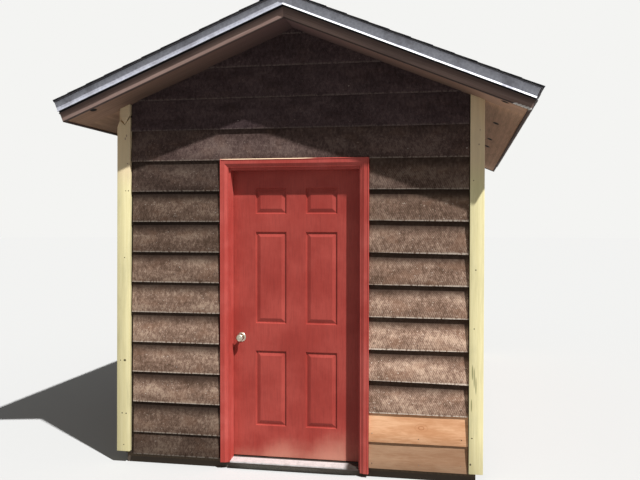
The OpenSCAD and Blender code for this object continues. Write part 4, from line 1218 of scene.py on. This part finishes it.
def makeKnobs():
    low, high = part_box("door_leaf")
    middle = sum(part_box("door_knobs"), Vector()) / 2
    knobs, roses, keyways = newPart(), newPart(), newPart()
    for face, turn in ((low.y, 0), (high.y, math.pi)):
        place = Matrix.Translation((middle.x, face, middle.z)) @ Matrix.Rotation(turn, 4, "Z")
        for part, whole in ((turnedPart(knob["outline"]), knobs), (turnedPart(knob["rose"]), roses),
                            (blockPart(*knob["keyway"]), keyways)):
            movePart(part, place)
            pour(whole, part)
    finishPiece("doorKnobs", knobs, satinNickel, "door_knobs", "knob", 30)
    finishPiece("rosePlates", roses, satinNickel, "rose_plates", "door", 30)
    # the keyway: a thin dark plate on the nickel, painted shade standing in for the slot's hollow
    material, add, shader = newMaterial("keywayPaintedShade", 0.6)
    dressShader(shader, add("mix", add("noise", add("place"), 300.0), "#1d1b18", "#35312a"))
    finishPiece("keyways", keyways, material, body="knob")


makeKnobs()
print("door made")


# timber of the frame and the deck, on Object coordinates; turn lays the grain along x, y or z
def plainTimber(name, dark, pale, grain, ring):
    material, add, shader = newMaterial(name, 0.75)
    turn = {"x": (0, 0, 0), "y": (0, 0, math.pi / 2), "z": (0, math.pi / 2, 0)}[grain]
    place = add("stretch", add("place"), (1, 1, 1), (0, 0, 0), turn)
    grown = timberPattern(add, place, ring, 6 * mm, 200 * mm, 0.35)
    colour = add("ramp", add("range", grown, 0.35, 1.0), ramp=[(0.0, dark), (1.0, pale)])
    # the lowest plates are black up to the foot of the boards, partly damp and partly painted shade under
    # the boards' feet
    height = add("split", add("place")).node.outputs[2]
    dampAndShade = add("range", height, wall["footZ"] - 2 * mm, wall["footZ"] + 2 * mm, 0.9, 0.0)
    dressShader(shader, add("mix", dampAndShade, colour, "#2e2621"), grown, 0.25)
    return material


# the slab's soiled rim runs from these distances outwards, and its trodden place lies before the door
slab = {"rimX": (1.19, 1.21), "rimY": (2.41, 2.43), "trodden": [((-0.02, -2.45, 0.02), (0.52, 0.06, 0.2))]}


def makeConcrete():
    # cast concrete, floated: matt grey with sand speckle, its outer rim soiled by splashing rain
    material, add, shader = newMaterial("floatedConcrete", 0.9)
    place = add("place")
    sand = add("noise", place, 120.0, 3.0, 0.7)
    stains = add("noise", place, 1.6, 5.0, 0.6)
    colour = add("ramp", sand, ramp=[(0.3, "#8c877e"), (0.7, "#b8b3a9")])
    colour = add("mix", add("range", stains, 0.45, 0.7, 0.0, 0.5), colour, "#756c60")
    x, y, _ = add("split", place).node.outputs
    rimX = add("range", add("most", x, add("times", x, -1.0)), *slab["rimX"])
    rimY = add("range", add("most", y, add("times", y, -1.0)), *slab["rimY"])
    soiled = add("mix", add("most", rimX, rimY), colour, "#4d4238")
    dressShader(shader, add("mix", marksAt(add, slab["trodden"]), soiled, colour), sand, 0.3, 1 * mm)
    return material


# the nodes that show as they are
shownNodes = (
    (makeConcrete(), "floor_slab"),
    (plainTimber("planedPineStuds", "#b98d57", "#dcb987", "z", 10 * mm), "front_frame_left",
     "front_frame_right", "front_frame_top", "left_wall_frame", "right_wall_frame", "back_wall_frame"),
    (plainTimber("planedPineRidge", "#b28753", "#d8b482", "y", 10 * mm), "ridge_board"),
    (plainTimber("planedPineRafters", "#b28753", "#d8b482", "x", 10 * mm), "rafters_left", "rafters_right"),
    (plainTimber("roofDeckPlywood", "#a67f50", "#caa673", "y", 26 * mm), "roof_deck_left",
     "roof_deck_right"),
    (casingPaint, "jamb_left", "jamb_right", "jamb_head", "casing_left", "casing_right", "casing_head"),
    (zincPlate, "strike_plate", "latch_plate"),
    (oldBrass, "jamb_hinges", "door_hinges"))
for material, *names in shownNodes:
    for name in names:
        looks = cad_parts[name].data.materials
        looks.clear()
        looks.append(material)
print("frame materials set")

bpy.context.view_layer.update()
faces = [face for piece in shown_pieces() if piece.type == "MESH" for face in piece.data.polygons]
print("triangles:", sum(len(face.vertices) - 2 for face in faces))
